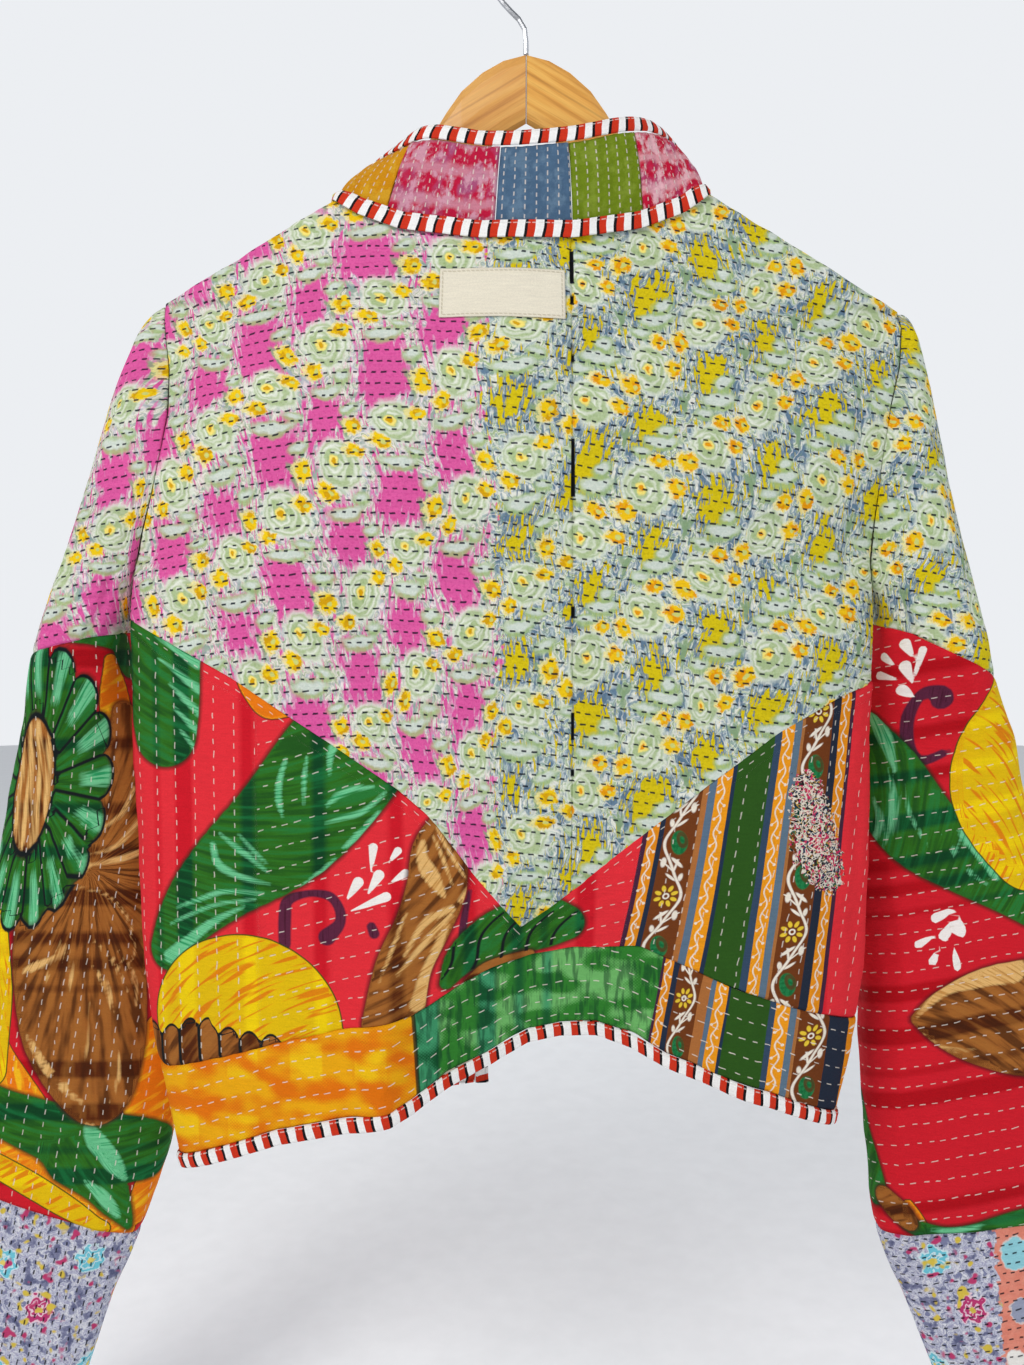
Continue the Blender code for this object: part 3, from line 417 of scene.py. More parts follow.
def body(face, across, z):
    """Points of the body's outer surface, from 0 at its left side to 1 at its right one."""
    left, right = side_edges(z)
    x = across_to_x(across, z)
    depth = half_depth(face, x, z, False)
    out = np.minimum(np.abs(x - (left + right) / 2) * 2 / (right - left), 1.0)
    leftward = across < 0.5
    edge_x = np.where(leftward, left, right)
    gap = np.where(leftward, read(EDGE_LEFT, "z", z, "open"), read(EDGE_RIGHT, "z", z, "open"))
    edge = half_depth(face, edge_x, z, True)
    turning = ease((TURN_BEGINS - z) / (TURN_BEGINS - TURN_ENDS))
    square, turn = (SIDE_SQUARE, SIDE_TURN) if face == "back" else (FRONT_SQUARE, FRONT_TURN)
    close = 1 - np.maximum(1 - out**square, 0.0) ** (1 / (1 + (turn - 1) * turning))
    closed = np.maximum(depth + (gap - edge) * close, 0.0)
    depth = np.where(z < shoulder_line(edge_x), closed, depth)
    middle = 2.0 + SHOULDER_FORWARD * np.minimum(np.abs(x) / SHOULDER_HALF, 1.05) ** 1.5
    lower = ease((shoulder_line(x) - z) / MIDDLE_DRAPE)
    middle = middle + (read_smooth(DEPTHS, "z", z, "side") - middle) * lower
    sign = -1 if face == "back" else 1
    return np.stack(np.broadcast_arrays(x, middle + sign * (depth + SEAM_GAP / 2), z), axis=-1)


def outward(points):
    """Which way a grid of points faces, where its rows go down and its columns to the right."""
    around, down = np.gradient(points, axis=1), np.gradient(points, axis=0)
    facing = np.cross(down, around)
    return facing / np.maximum(np.linalg.norm(facing, axis=-1, keepdims=True), 1e-9)


def rumple(u, v, size, seed):
    """Smooth uneven swells, from -1 to 1, about one size apart, the same on every run."""
    cells = 64
    lattice = np.random.default_rng(seed).uniform(-1, 1, (cells, cells))
    column, row = u / size + 31.0, v / size + 31.0
    i, j = np.floor(column).astype(int) % cells, np.floor(row).astype(int) % cells
    next_i, next_j = (i + 1) % cells, (j + 1) % cells
    s, t = ease(column - np.floor(column)), ease(row - np.floor(row))
    near = lattice[i, j] * (1 - s) + lattice[next_i, j] * s
    far = lattice[i, next_j] * (1 - s) + lattice[next_i, next_j] * s
    return near * (1 - t) + far * t


def creases(rows, x, z):
    """Soft folds, listed one by one: each runs from one point to another, wide, and high or deep as given."""
    total = np.zeros(np.broadcast(x, z).shape)
    for row in rows:
        part, away = along_line(row, x, z)
        away = away + 1.2 * np.sin(part * 9 + row[0])
        hump = np.exp(-((away / row[4]) ** 2) * 2.5) * ease(part / 0.22) * ease((1 - part) / 0.22)
        total += row[5] * np.where((part > 0) & (part < 1), hump, 0.0)
    return total


def crowd(count, left=0.0, right=0.0):
    """Places from 0 to 1, closer together near the ends that turn sharply."""
    t = np.linspace(0.0, 1.0, count)
    if left:
        t = t * t / (t + left) * (1 + left)
    if right:
        s = 1 - t
        t = 1 - s * s / (s + right) * (1 + right)
    return t


def tuck(points, facing, deep, sides="tblr"):
    """Turns the outermost stitches of a grid's edges inwards, so that each seam lies in a groove."""
    rows, columns = points.shape[:2]
    step = np.full((rows, columns), 9.0)
    down, across = np.arange(rows)[:, None], np.arange(columns)[None, :]
    for side, count in zip("tblr", (down, rows - 1 - down, across, columns - 1 - across)):
        if side in sides:
            step = np.minimum(step, count)
    return points - facing * (deep * np.interp(step, (0, 1, 2), (1.0, 0.28, 0.0)))[..., None]


CLOTH_THICK = 1.5


def cloth(
    name, points, print_uv, material, stitch_uv=None, fields=(), thick=CLOTH_THICK, wrap=False, inner=None
):
    """A thin piece of cloth through a grid of points, seen from outside with its first row on top."""
    rows, columns = points.shape[:2]
    bm = bmesh.new()
    bmesh.ops.create_grid(bm, x_segments=columns - 1, y_segments=rows - 1, size=1.0)
    piece = add_object(name, bm, material, inner or lining)
    mesh = piece.data
    mesh.vertices.foreach_set("co", (points[::-1] * 0.001).reshape(-1))
    corner = np.empty(len(mesh.loops), int)
    mesh.loops.foreach_get("vertex_index", corner)
    for layer, places in (("cloth", print_uv), ("stitch", stitch_uv)):
        if places is not None:
            flat = (places[::-1] * 0.001).reshape(-1, 2)
            mesh.uv_layers.new(name=layer).uv.foreach_set("vector", flat[corner].reshape(-1))
    for layer, field in fields:
        attribute = mesh.attributes.new(layer, "FLOAT_VECTOR", "POINT")
        attribute.data.foreach_set("vector", np.ascontiguousarray(field[::-1]).reshape(-1))
    if wrap:
        bm = bmesh.new()
        bm.from_mesh(mesh)
        bmesh.ops.remove_doubles(bm, verts=bm.verts, dist=1e-6)
        bm.to_mesh(mesh)
        bm.free()
    mesh.update()
    if thick:
        wall = piece.modifiers.new("thickness", "SOLIDIFY")
        wall.thickness, wall.offset = thick * 0.001, -1.0
        wall.material_offset, wall.material_offset_rim = 1, 0
    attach(piece, "root")
    return piece


# The reverse of the cloth is a worn pale cotton that shows only inside the neck, the sleeves
# and the hem. Rows of small stitches come through it from the right side.
reverse = Finish("worn cotton reverse", roughness=0.9, sheen=0.05)
across, up, place = reverse.along()
faded = reverse.noise(place, 40.0, detail=3.0)
thread = reverse.noise(place, 0.9)
dash = (((across + (up / 6.6).floor() * 2.3) % 6.2) - 2.4).math("LESS_THAN", 0.0)
dash = dash * abs((up % 6.6) - 3.3).math("LESS_THAN", 0.45)
tone = reverse.ramp(faded, (0.3, rgb(196, 178, 150)), (0.5, rgb(214, 203, 184)), (0.75, rgb(190, 176, 168)))
reverse.colour = reverse.blend(dash, reverse.shade(tone, thread * 0.3 + 0.85), rgb(70, 66, 76))
reverse.surface(raised=thread + dash, deep=0.15)
lining = reverse.material

# Back yoke: two quilted halves with a printed rose pattern, joined by a worn seam down the middle
# of the back. Their shared lower edge is a deep V, and the neck edge lies under its binding. Rows
# of dark running stitches pull the worn layers of cotton into small ripples.
ROSE_AT, ROSE_PITCH, ROSE_ROW, ROSE_STEP = (64.7, -384.9), 33.4, 69.5, 25.0
STITCH_ROWS, STITCH_PITCH, STITCH_LONG, STITCH_THICK = 6.4, 5.5, 2.6, 1.0
CENTRE_SEAM_X, CENTRE_SEAM_FOOT = 25.0, -537.5
NAVY_THREAD = rgb(20, 28, 44)


def motif(across, up, dx, dz):
    """Offsets from the nearest copy of a printed motif that stands dx and dz from each rose."""
    x = across - (ROSE_AT[0] + dx)
    column = (x / ROSE_PITCH + 0.5).floor()
    y = up - (ROSE_AT[1] + dz) - column * ROSE_STEP
    return x - column * ROSE_PITCH, y - (y / ROSE_ROW + 0.5).floor() * ROSE_ROW


def oval_ink(x, y, wide, tall, turn=0.0):
    """How far inside a printed oval a place is, in about a millimetre."""
    cosine, sine = math.cos(turn), math.sin(turn)
    a, b = (x * cosine + y * sine) / wide, (y * cosine - x * sine) / tall
    return (1.0 - (a * a + b * b) ** 0.5) * min(wide, tall)


def stitches(made, rows_apart, pitch, long, thick):
    """1 on each running stitch of the cloth, and 0 between them."""
    along, row, place = made.along("stitch")
    number = (row / rows_apart).floor()
    uneven = made.noise(place, 9.0)
    at = (along + number * 2.3 + uneven * 5.0) % pitch
    off = row - (number + 0.5) * rows_apart + (uneven - 0.5) * 2.0
    return (long * (0.3 + uneven * 0.4) - abs(at - pitch / 2)).low((thick / 2 - abs(off)) * 1.6).inside(0.4)


def puckers(made, rows_apart=0.0, size=4.6):
    """The small ripples that the running stitches pull the cloth into, from about 0 to 1."""
    along, row, place = made.along("stitch") if rows_apart else made.along()
    ripple = made.streaks(along / (size * 1.5), row / size, detail=1.5)
    if not rows_apart:
        return ripple
    return ripple * 0.75 + (row * (2 * math.pi / rows_apart)).math("COSINE") * -0.16 + 0.16


def worn(made, place, fade=0.10):
    """Gives the colour the cotton's threads and its uneven fading, and returns the threads' relief."""
    thread = made.noise(place, 0.9, detail=1.0)
    drawn_out = made.node("VectorMath", [place, (0.09, 0.9, 0.0)], operation="MULTIPLY")
    slub = made.noise(drawn_out, 1.0, detail=1.0)
    wash = made.noise(place, 45.0, detail=3.0)
    factor = thread * 0.22 + slub * 0.16 + wash * (2 * fade) + (0.81 - fade)
    made.colour = made.shade(made.colour, factor)
    return thread + slub


def rose_print(name, grounds, patch, patch_at, patch_half, rim, golds, flowers, leaves, sprig, beyond=None):
    """One repeat is a rose, its leaves and small flowers, and a frayed patch of the bare ground."""
    made = Finish(name, roughness=0.9)
    across, up, place = made.along()
    sway = made.split(made.noise(place, 5.0, detail=2.0, out=1))
    drift = made.split(made.noise(place, 42.0, detail=0.0, out=1))
    speckle = made.noise(place, 1.6)
    # the middle seam was oversewn in black, and much of it has worn away
    kept = (made.streaks(2.0, up * 0.028) - 0.53) * 40.0
    seam = (0.5 + drift[2] - abs(across - CENTRE_SEAM_X)).low(kept)
    across, up = across + (drift[0] - 0.5) * 15.0, up + (drift[1] - 0.5) * 15.0
    x, y = across + (sway[0] - 0.5) * 4.0, up + (sway[1] - 0.5) * 4.0
    # soft painted shapes, drawn over with curling lines
    sketch = (made.streaks(x * 0.15, y * 0.09, detail=1.8, rough=0.5) - 0.5) * 2.3 + 0.5
    made.colour = made.ramp(sketch, *grounds)
    far = 0.0
    if beyond:
        far = ((across + 20.0) * 0.4 + (sway[2] - 0.5) * 12.0).inside(1.0)
        made.ink(far, made.ramp(sketch, *beyond[0]))
        rim = made.blend(far, rim, beyond[2])
        patch = [made.blend(far, near, beyond[1][k]) for k, near in enumerate(patch)]
    curl = made.streaks(x * 0.10 + 20.0, y * 0.075, detail=1.0)
    drawn = (0.10 - abs((curl * 8.0) % 1.0 - 0.5)) * 8.0
    pencil = made.blend((sway[2] * 6.0 - 2.8).inside(1.0), rgb(134, 162, 132), rgb(112, 138, 162))
    made.ink(drawn.inside(1.2) * 0.5, pencil)
    pale = (0.10 - abs((curl * 8.0 + 0.35) % 1.0 - 0.5)) * 8.0
    made.ink(pale.inside(1.1) * 0.6, rgb(238, 234, 226))
    # the bare ground's patch shows between the leaves, with edges frayed into upright slivers
    ragged = made.streaks(across * 0.42, up * 0.10, detail=3.0)
    px, py = motif(across, up, *patch_at)
    box = oval_ink(px, py, *patch_half) + (ragged - 0.5) * 34.0 + (drift[2] - 0.5) * 14.0 - far * 5.0
    sliver = (made.streaks(across * 0.5 + 40.0, up * 0.075, detail=2.0) - 0.61) * 60.0
    made.ink((box + 3.0).high(sliver).inside(2.0) * 0.8, rim)
    deep = made.blend(((speckle - 0.56) * 8.0).inside(1.0) * 0.5, patch[0], patch[1])
    second = (made.streaks(across * 0.55 - 70.0, up * 0.085, detail=2.0) - 0.615) * 60.0
    made.ink(box.high(second).inside(0.6), deep)
    # leaves, each a pale blade with a sage edge below it
    for dx, dz, wide, tall, turn in leaves:
        lx, ly = motif(x, y, dx, dz)
        ly = ly - lx * lx * 0.016
        blade = made.blend((speckle * 1.6 - 0.4).inside(1.0), rgb(240, 240, 232), rgb(206, 216, 208))
        below = oval_ink(lx, ly + 0.5, wide + 1.2, tall + 1.3, turn)
        made.ink(below.inside(1.6) * 0.8, rgb(160, 186, 120))
        above = oval_ink(lx, ly - 0.3, wide - 0.6, tall - 0.7, turn)
        made.ink(above.inside(1.4) * 0.9, blade)
    for turn, long in ((0.0, 7.5), (0.5, 5.0), (-0.45, 5.5)):
        sx, sy = motif(x, y, *sprig)
        stem = oval_ink(sx + math.sin(turn) * 3.0, sy - abs(math.sin(turn)) * 3.0, 1.3, long, turn)
        made.ink(stem.inside(0.8) * 0.85, rgb(132, 160, 120))
    # the rose: a round heart and an outer crescent of sage petals, with pale lines between them
    rx, ry = motif(x, y, 0.0, 0.0)
    rx, ry = rx + (sway[2] - 0.5) * 3.0, ry * 0.9
    heart = ((rx + 1.3) * (rx + 1.3) + ry * ry) ** 0.5
    outer = ((rx - 0.9) * (rx - 0.9) + (ry + 0.4) * (ry + 0.4)) ** 0.5
    turned = ry.math("ARCTAN2", rx)
    sage = made.blend((speckle * 2.4 - 0.8).inside(1.0), rgb(140, 168, 104), rgb(176, 194, 146))
    cream = rgb(238, 240, 230)
    made.ink((12.4 - outer + (speckle - 0.5) * 3.0).inside(2.5) * 0.6, rgb(222, 230, 214))
    made.ink((10.6 - outer + (speckle - 0.5) * 2.0).inside(2.0) * 0.92, sage)
    arc = (turned * 2.0 + outer * 0.55 + drift[0] * 9.0).sine()
    made.ink((0.7 - abs(outer - 8.2)).low(arc * 2.0).inside(1.5) * 0.85, cream)
    made.ink((7.0 - heart).inside(1.4) * 0.85, cream)
    made.ink((6.2 - heart).inside(1.3), sage)
    made.ink((0.7 - abs(heart - 4.4)).low(arc * -2.0).inside(1.4) * 0.85, cream)
    made.ink((0.6 - abs(outer - 10.8)).inside(1.2) * 0.4, cream)
    made.ink((2.7 - heart).inside(0.9), rgb(246, 226, 120))
    made.ink((1.3 - heart).inside(0.6), golds[1])
    # small yellow flowers with a pale halo and deeper dabs
    for number, (dx, dz) in enumerate(flowers):
        fx, fy = motif(x, y, dx, dz)
        fy = fy * (0.86 + 0.16 * number)
        reach = (fx * fx + fy * fy) ** 0.5
        turn = fy.math("ARCTAN2", fx)
        frilled = reach + (turn * (4.0 + number % 2) + number * 2.0).sine() * 0.35 + (speckle - 0.5) * 4.6
        made.ink((5.2 - frilled - fx * 0.18).inside(1.0) * 0.8, rgb(244, 228, 150))
        golden = made.blend(((sway[1] - 0.54) * 12.0).inside(1.0), *golds)
        made.ink((4.2 - frilled).inside(0.9), golden)
        eye = 1.3 - ((fx - 0.8) * (fx - 0.8) + fy * fy) ** 0.5
        made.ink(eye.inside(0.5), rgb(206, 210, 120))
    made.ink(seam.inside(0.5), rgb(16, 16, 20))
    fibres = worn(made, place)
    dash = stitches(made, STITCH_ROWS, STITCH_PITCH, STITCH_LONG, STITCH_THICK)
    made.ink(dash * 0.93, NAVY_THREAD)
    ripple = puckers(made, STITCH_ROWS)
    return made.surface(raised=fibres * 0.10 + ripple - dash * 0.2, deep=1.3)


BLUE_GROUND = (
    (0.22, rgb(98, 124, 146)), (0.35, rgb(192, 204, 204)), (0.43, rgb(134, 160, 150)),
    (0.50, rgb(226, 228, 212)), (0.57, rgb(148, 174, 116)), (0.64, rgb(218, 222, 204)),
    (0.73, rgb(128, 152, 166)), (0.86, rgb(226, 228, 216)),
)
LIME_INK, STEEL_BLUE = (rgb(216, 194, 20), rgb(190, 168, 14)), rgb(88, 114, 138)
rose_pink = rose_print(
    "rose print on pink",
    grounds=(
        (0.24, rgb(156, 174, 160)), (0.36, rgb(230, 220, 214)), (0.44, rgb(190, 200, 172)),
        (0.50, rgb(234, 222, 218)), (0.57, rgb(150, 172, 130)), (0.64, rgb(222, 214, 204)),
        (0.74, rgb(176, 182, 190)), (0.86, rgb(232, 216, 218)),
    ),
    patch=(rgb(222, 92, 160), rgb(206, 70, 142)),
    patch_at=(-4.2, 26.5),
    patch_half=(10.5, 16.5),
    rim=rgb(224, 120, 178),
    golds=(rgb(240, 200, 22), rgb(212, 160, 14)),
    flowers=((-19.5, -4.0), (-9.0, -13.0), (-22.5, -19.5)),
    leaves=((-2.7, -25.0, 9.5, 3.4, 0.1), (-22.0, 8.0, 5.0, 2.6, 0.3), (7.0, -17.5, 4.4, 2.2, -0.2)),
    sprig=(9.0, 20.0),
    beyond=(BLUE_GROUND, LIME_INK, STEEL_BLUE),
)
rose_blue = rose_print(
    "rose print on blue",
    grounds=BLUE_GROUND,
    patch=LIME_INK,
    patch_at=(3.0, 38.0),
    patch_half=(7.5, 11.5),
    rim=STEEL_BLUE,
    golds=(rgb(238, 192, 24), rgb(230, 152, 14)),
    flowers=((-11.0, -10.0), (-17.8, -24.3), (-24.5, -10.8)),
    leaves=((9.0, 26.0, 9.6, 3.7, 0.05), (-1.0, 19.0, 5.8, 2.6, -0.1), (-22.0, 9.0, 4.4, 3.4, 0.2)),
    sprig=(-12.0, 26.0),
)
NECK_BACK = table(
    "x z",
    (-109, -140.3), (-94, -149.8), (-70, -160.3), (-26, -168.4), (CENTRE_SEAM_X, -168.5), (63, -160.6),
    (87, -150.0), (103.5, -137.2),
)
V_LEFT = table(
    "z x",
    (-383, -233), (-394.5, -207), (-417, -164), (-452, -110), (-478.5, -70.5), (-494, -53), (-526, -30),
    (-559.5, -3),
)
V_RIGHT = table(
    "z x",
    (-420, 204.5), (-428.5, 176), (-437, 160), (-449, 139), (-476, 101), (-499, 71), (-520, 45),
    (-537.5, 25.5), (-559.5, -3),
)
NECK_ROWS, SHOULDER_ROWS, ARMHOLE_ROWS, SIDE_ROWS, LEFT_LEG_ROWS, TIP_ROWS = 8, 10, 24, 6, 26, 3
CENTRE_ROWS = SHOULDER_ROWS + ARMHOLE_ROWS + LEFT_LEG_ROWS - NECK_ROWS - TIP_ROWS
RIGHT_LEG_ROWS = NECK_ROWS - 2 + CENTRE_ROWS - SHOULDER_ROWS - ARMHOLE_ROWS - SIDE_ROWS
LEFT_NECK_X, RIGHT_NECK_X = -109.0, 103.5


def stretch(start, end, count, line, key="z", want="x"):
    """Evenly spaced (x, z) places along a seam, without its first one."""
    at = start + (end - start) * np.arange(1, count + 1) / count
    other = read(line, key, at, want)
    return list(zip(other, at)) if key == "z" else list(zip(at, other))


def neck_edge(rows, count):
    xs = rows["x"]
    return [place for a, b in zip(xs, xs[1:]) for place in stretch(a, b, count, rows, "x", "z")]


def armhole(edge):
    kept = [z for z in edge["z"] if edge["z"][1] >= z >= ARMHOLE_FOOT]
    return [place for a, b in zip(kept, kept[1:]) for place in stretch(a, b, 3, edge)]


def shoulder(neck_x, end_x):
    x = neck_x + (end_x - neck_x) * np.arange(SHOULDER_ROWS + 1) / SHOULDER_ROWS
    return list(zip(x, shoulder_line(x)))


def part_of(rows, low=-1e9, high=1e9, flip=False):
    """The rows of a neck table between two places, in order or from its far end."""
    kept = (rows["x"] >= low) & (rows["x"] <= high)
    step = -1 if flip else 1
    return {name: values[kept][::step] for name, values in rows.items()}


left_armhole, right_armhole = armhole(EDGE_LEFT), armhole(EDGE_RIGHT)
left_leg = stretch(-383, -559.5, LEFT_LEG_ROWS, V_LEFT)
tip_leg = stretch(CENTRE_SEAM_FOOT, -559.5, TIP_ROWS, V_RIGHT)
right_side = stretch(-373, -420, SIDE_ROWS, EDGE_RIGHT)
right_leg = stretch(-420, CENTRE_SEAM_FOOT, RIGHT_LEG_ROWS, V_RIGHT)
neck_left = neck_edge(part_of(NECK_BACK, high=CENTRE_SEAM_X), 2)
neck_right = neck_edge(part_of(NECK_BACK, low=CENTRE_SEAM_X, flip=True), 2)
seam_top = neck_left[-1][1]
seam_long = CENTRE_SEAM_FOOT - seam_top
centre = [(CENTRE_SEAM_X, seam_top + seam_long * (i + 1) / CENTRE_ROWS) for i in range(CENTRE_ROWS)]


def shifted(places, x_shift):
    return [(x + x_shift, z) for x, z in places]


yoke_left_outer = shoulder(LEFT_NECK_X, -214) + left_armhole + left_leg
yoke_left_inner = [(LEFT_NECK_X, shoulder_line(LEFT_NECK_X))] + neck_left + centre
yoke_left_inner = shifted(yoke_left_inner, -SEAM_GAP / 2) + tip_leg
yoke_right_inner = [(RIGHT_NECK_X, shoulder_line(RIGHT_NECK_X))] + neck_right + centre
yoke_right_inner = shifted(yoke_right_inner, SEAM_GAP / 2)
yoke_right_outer = shoulder(RIGHT_NECK_X, 221) + right_armhole + right_side + right_leg


def resample(places, at):
    """Places along a list of points, at parts of its count from 0 to 1."""
    places = np.array(places)
    index = at * (len(places) - 1)
    return np.stack([np.interp(index, np.arange(len(places)), places[:, k]) for k in (0, 1)], axis=-1)


def panel_places(left, right, rows, columns, outer_side):
    """A grid of (x, z) places whose rows run from a panel's left edge to its right one."""
    at = crowd(rows, left=0.02)
    at[0] = 0.004
    left, right = resample(left, at), resample(right, at)
    part = crowd(columns, **{outer_side: 0.05})
    return left[:, None] + (right - left)[:, None] * part[None, :, None]


def lifted(face, places, lift):
    """The body's surface at a grid of places, moved out by a lift in millimetres, and its facing."""
    x, z = places[..., 0], places[..., 1]
    points = body(face, x_to_across(x, z), z)
    facing = outward(points)
    return points + facing * lift(x, z)[..., None], facing


def sewn(node, slot, points):
    """Puts a cloth in its solid's place by hiding the solid, and works out the size it was cut to.

    That is its longest row and column, laid flat.
    """
    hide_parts(node)
    across, down = np.diff(points, axis=1), np.diff(points, axis=0)
    wide = float(np.linalg.norm(across, axis=-1).sum(axis=1).max())
    tall = float(np.linalg.norm(down, axis=-1).sum(axis=0).max())
    wide, tall = round(wide / 1000 + 0.0005, 3), round(tall / 1000 + 0.0005, 3)


BACK_CREASES = (
    # x z to_x to_z wide rise: the shoulders' pull, the underarm's hollows and the swing to the hem
    (-206, -235, -178, -400, 9, -1.5), (-192, -215, -150, -345, 12, 1.3), (-228, -352, -172, -330, 9, -1.4),
    (-226, -372, -140, -392, 8, -0.9), (198, -225, 176, -410, 9, -1.5), (184, -220, 152, -330, 12, 1.2),
    (200, -345, 150, -318, 9, -1.3), (196, -392, 120, -398, 10, 0.8), (-120, -172, -96, -300, 14, 0.9),
    (-38, -176, -52, -262, 10, -0.8), (58, -172, 72, -280, 12, -0.9), (120, -170, 104, -300, 14, 0.9),
    (6, -230, -6, -520, 13, 1.0), (48, -250, 44, -505, 12, -0.9), (-96, -300, -70, -455, 16, -1.0),
    (140, -330, 96, -465, 16, -1.0),
)
ROW_SLOPES = table(
    "x drop", (-400, 42), (-230, 12), (-150, 0), (-80, -2), (0, 6), (100, 22), (200, 40), (400, 78)
)


def stitched_rows(x, z):
    """The yoke's rows of stitches, which rise to the right at the far left and sink beyond it."""
    slope = read_smooth(ROW_SLOPES, "x", x, "drop")
    return np.stack([x + 0 * z, z + slope + 1.5 * rumple(x, z, 60.0, 5)], axis=-1)


def quilted(face):
    def lift(x, z):
        rows = np.cos(2 * np.pi * stitched_rows(x, z)[..., 1] / STITCH_ROWS)
        uneven = 0.6 + 0.4 * rumple(x, z, 11.0, 8)
        swell = 0.55 * rumple(x, z, 34.0, 3) + 0.28 * rumple(x, z, 13.0, 4)
        folds = creases(BACK_CREASES if face == "back" else FRONT_CREASES, x, z)
        return folds - 0.17 * rows * uneven + swell

    return lift


def leaned(x, z):
    """The print's own places: its columns lean to the left as they rise, at the yoke's left."""
    return np.stack([x + 0.157 * np.clip(-x / 100.0, 0.0, 1.0) * (z + 298.0), z], axis=-1)


places = panel_places(yoke_left_outer, yoke_left_inner, 212, 132, "left")
points, facing = lifted("back", places, quilted("back"))
x, z = places[..., 0], places[..., 1]
tucked, rows = tuck(points, facing, 1.0), stitched_rows(x, z)
yoke_left = cloth("back_yoke_left_cloth", tucked, leaned(x, z), rose_pink, rows)
sewn("back_yoke_left", "pink_floral", points)

places = panel_places(yoke_right_inner, yoke_right_outer, 210, 116, "right")
points, facing = lifted("back", places, quilted("back"))
x, z = places[..., 0], places[..., 1]
tucked, rows = tuck(points, facing, 1.0), stitched_rows(x, z)
yoke_right = cloth("back_yoke_right_cloth", tucked, places, rose_blue, rows)
sewn("back_yoke_right", "blue_floral", points)

# Lower back: one cloth printed with big leaves, pieced in under the yoke's V. Its right side is the
# cloth's border of vines and flowers, with one worn place darned over. The leaves are drawn here
# as brush strokes, and their colours, bands and threads are the material's.
V_GAP = 2 * SEAM_GAP
BAND_TOP = table(
    "x z",
    (-236, -648), (-208.5, -645), (-173.5, -634.5), (-143, -624.5), (-105, -615.5), (-64, -608),
    (-44, -596.8), (-20, -583.5), (3, -575.5), (26.5, -572), (66, -572), (95, -584), (121, -594.5),
    (146, -603.5), (197, -620), (210, -624),
)
HEM_TOP = table(
    "x z",
    (-236, -706), (-205, -698.5), (-142, -675), (-105, -667), (-77, -662.5), (-64.5, -657), (-44.5, -645),
    (-20, -635), (1.5, -624.5), (20, -621.5), (42, -621), (62, -627.5), (82, -637.5), (104.5, -643.5),
    (139, -654.5), (180, -672), (205, -682),
)
BINDING_WIDE = 9.0
LOWER_CREASES = (
    # x z to_x to_z wide rise
    (-222, -400, -212, -640, 10, 1.2), (-196, -430, -176, -700, 12, -1.3),
    (-150, -450, -158, -700, 12, 1.1), (-112, -470, -96, -690, 13, -1.4), (-70, -500, -84, -700, 12, 1.5),
    (-34, -560, -46, -670, 12, -1.3), (4, -575, 12, -650, 14, 0.8), (60, -540, 66, -660, 12, -1.2),
    (104, -500, 108, -680, 13, 1.3), (140, -460, 134, -690, 11, -1.2), (170, -440, 160, -690, 12, 1.1),
    (196, -440, 186, -640, 9, -1.2),
)


def along_v(x):
    """Height of the V seam over one place of the back."""
    left, right = read(V_LEFT, "x", x, "z"), read(V_RIGHT, "x", x, "z")
    return np.where(x < -3.0, left, right)


def hung(face, across, tops, foot_line, rows, lift):
    """A grid hung from one seam line to the next; also gives its feet, for what is sewn on below."""
    feet = tops
    for _ in range(4):
        feet = read(foot_line, "x", across_to_x(across, feet), "z")
    z = tops + (feet - tops) * np.linspace(0.0, 1.0, rows)[:, None]
    points = body(face, np.broadcast_to(across, z.shape), z)
    facing = outward(points)
    return points + facing * lift(points[..., 0], points[..., 2])[..., None], facing, feet


def unrolled(points, anchor):
    """The cloth's own places: millimetres across from an anchor column, and height."""
    anchor %= points.shape[1]
    steps = np.linalg.norm(np.diff(points[..., :2], axis=1), axis=-1)
    run = np.concatenate([np.zeros((len(points), 1)), np.cumsum(steps, axis=1)], axis=1)
    across = run - run[:, anchor : anchor + 1] + points[:, anchor : anchor + 1, 0]
    return np.stack([across, points[..., 2]], axis=-1)


def lower_lift(x, z):
    wave = 1.5 * rumple(x, z, 50.0, 15)
    columns = np.cos(2 * np.pi * (x + wave) / 12.0)
    slanted = np.cos(2 * np.pi * (z + np.sign(x + 3) * -0.55 * x + wave) / 12.0)
    near_v = ease((80.0 - np.abs(z - along_v(x))) / 40.0)
    swell = 0.8 * rumple(x, z, 30.0, 13) + 0.3 * rumple(x, z, 12.0, 14)
    pull = -0.16 * (columns * (1 - near_v) + slanted * near_v)
    return creases(LOWER_CREASES, x, z) + pull + swell


def band_lift(x, z):
    swell = 0.7 * rumple(x, z, 24.0, 23) + 0.35 * rumple(x, z, 9.0, 24)
    return creases(LOWER_CREASES, x, z) + swell


INKS = ("green", "yellow", "brown", "drop", "plum", "orange", "tan", "pen")
WHITE_ROWS, WHITE_ROWS_BAND, WHITE_PITCH, WHITE_LONG, WHITE_THICK = 12.0, 11.0, 7.4, 3.2, 0.65
WHITE_THREAD = rgb(236, 226, 214)


def smooth_path(points, steps=5):
    """A short path of numbers as one smooth curve through them."""
    rows = np.array(points, float)
    padded = np.concatenate([rows[:1], rows, rows[-1:]])
    made = []
    for i in range(len(rows) - 1):
        a, b, c, d = padded[i : i + 4]
        for t in np.arange(steps) / steps:
            made.append(between(a, b, c, d, t))
    return np.array([*made, rows[-1]])


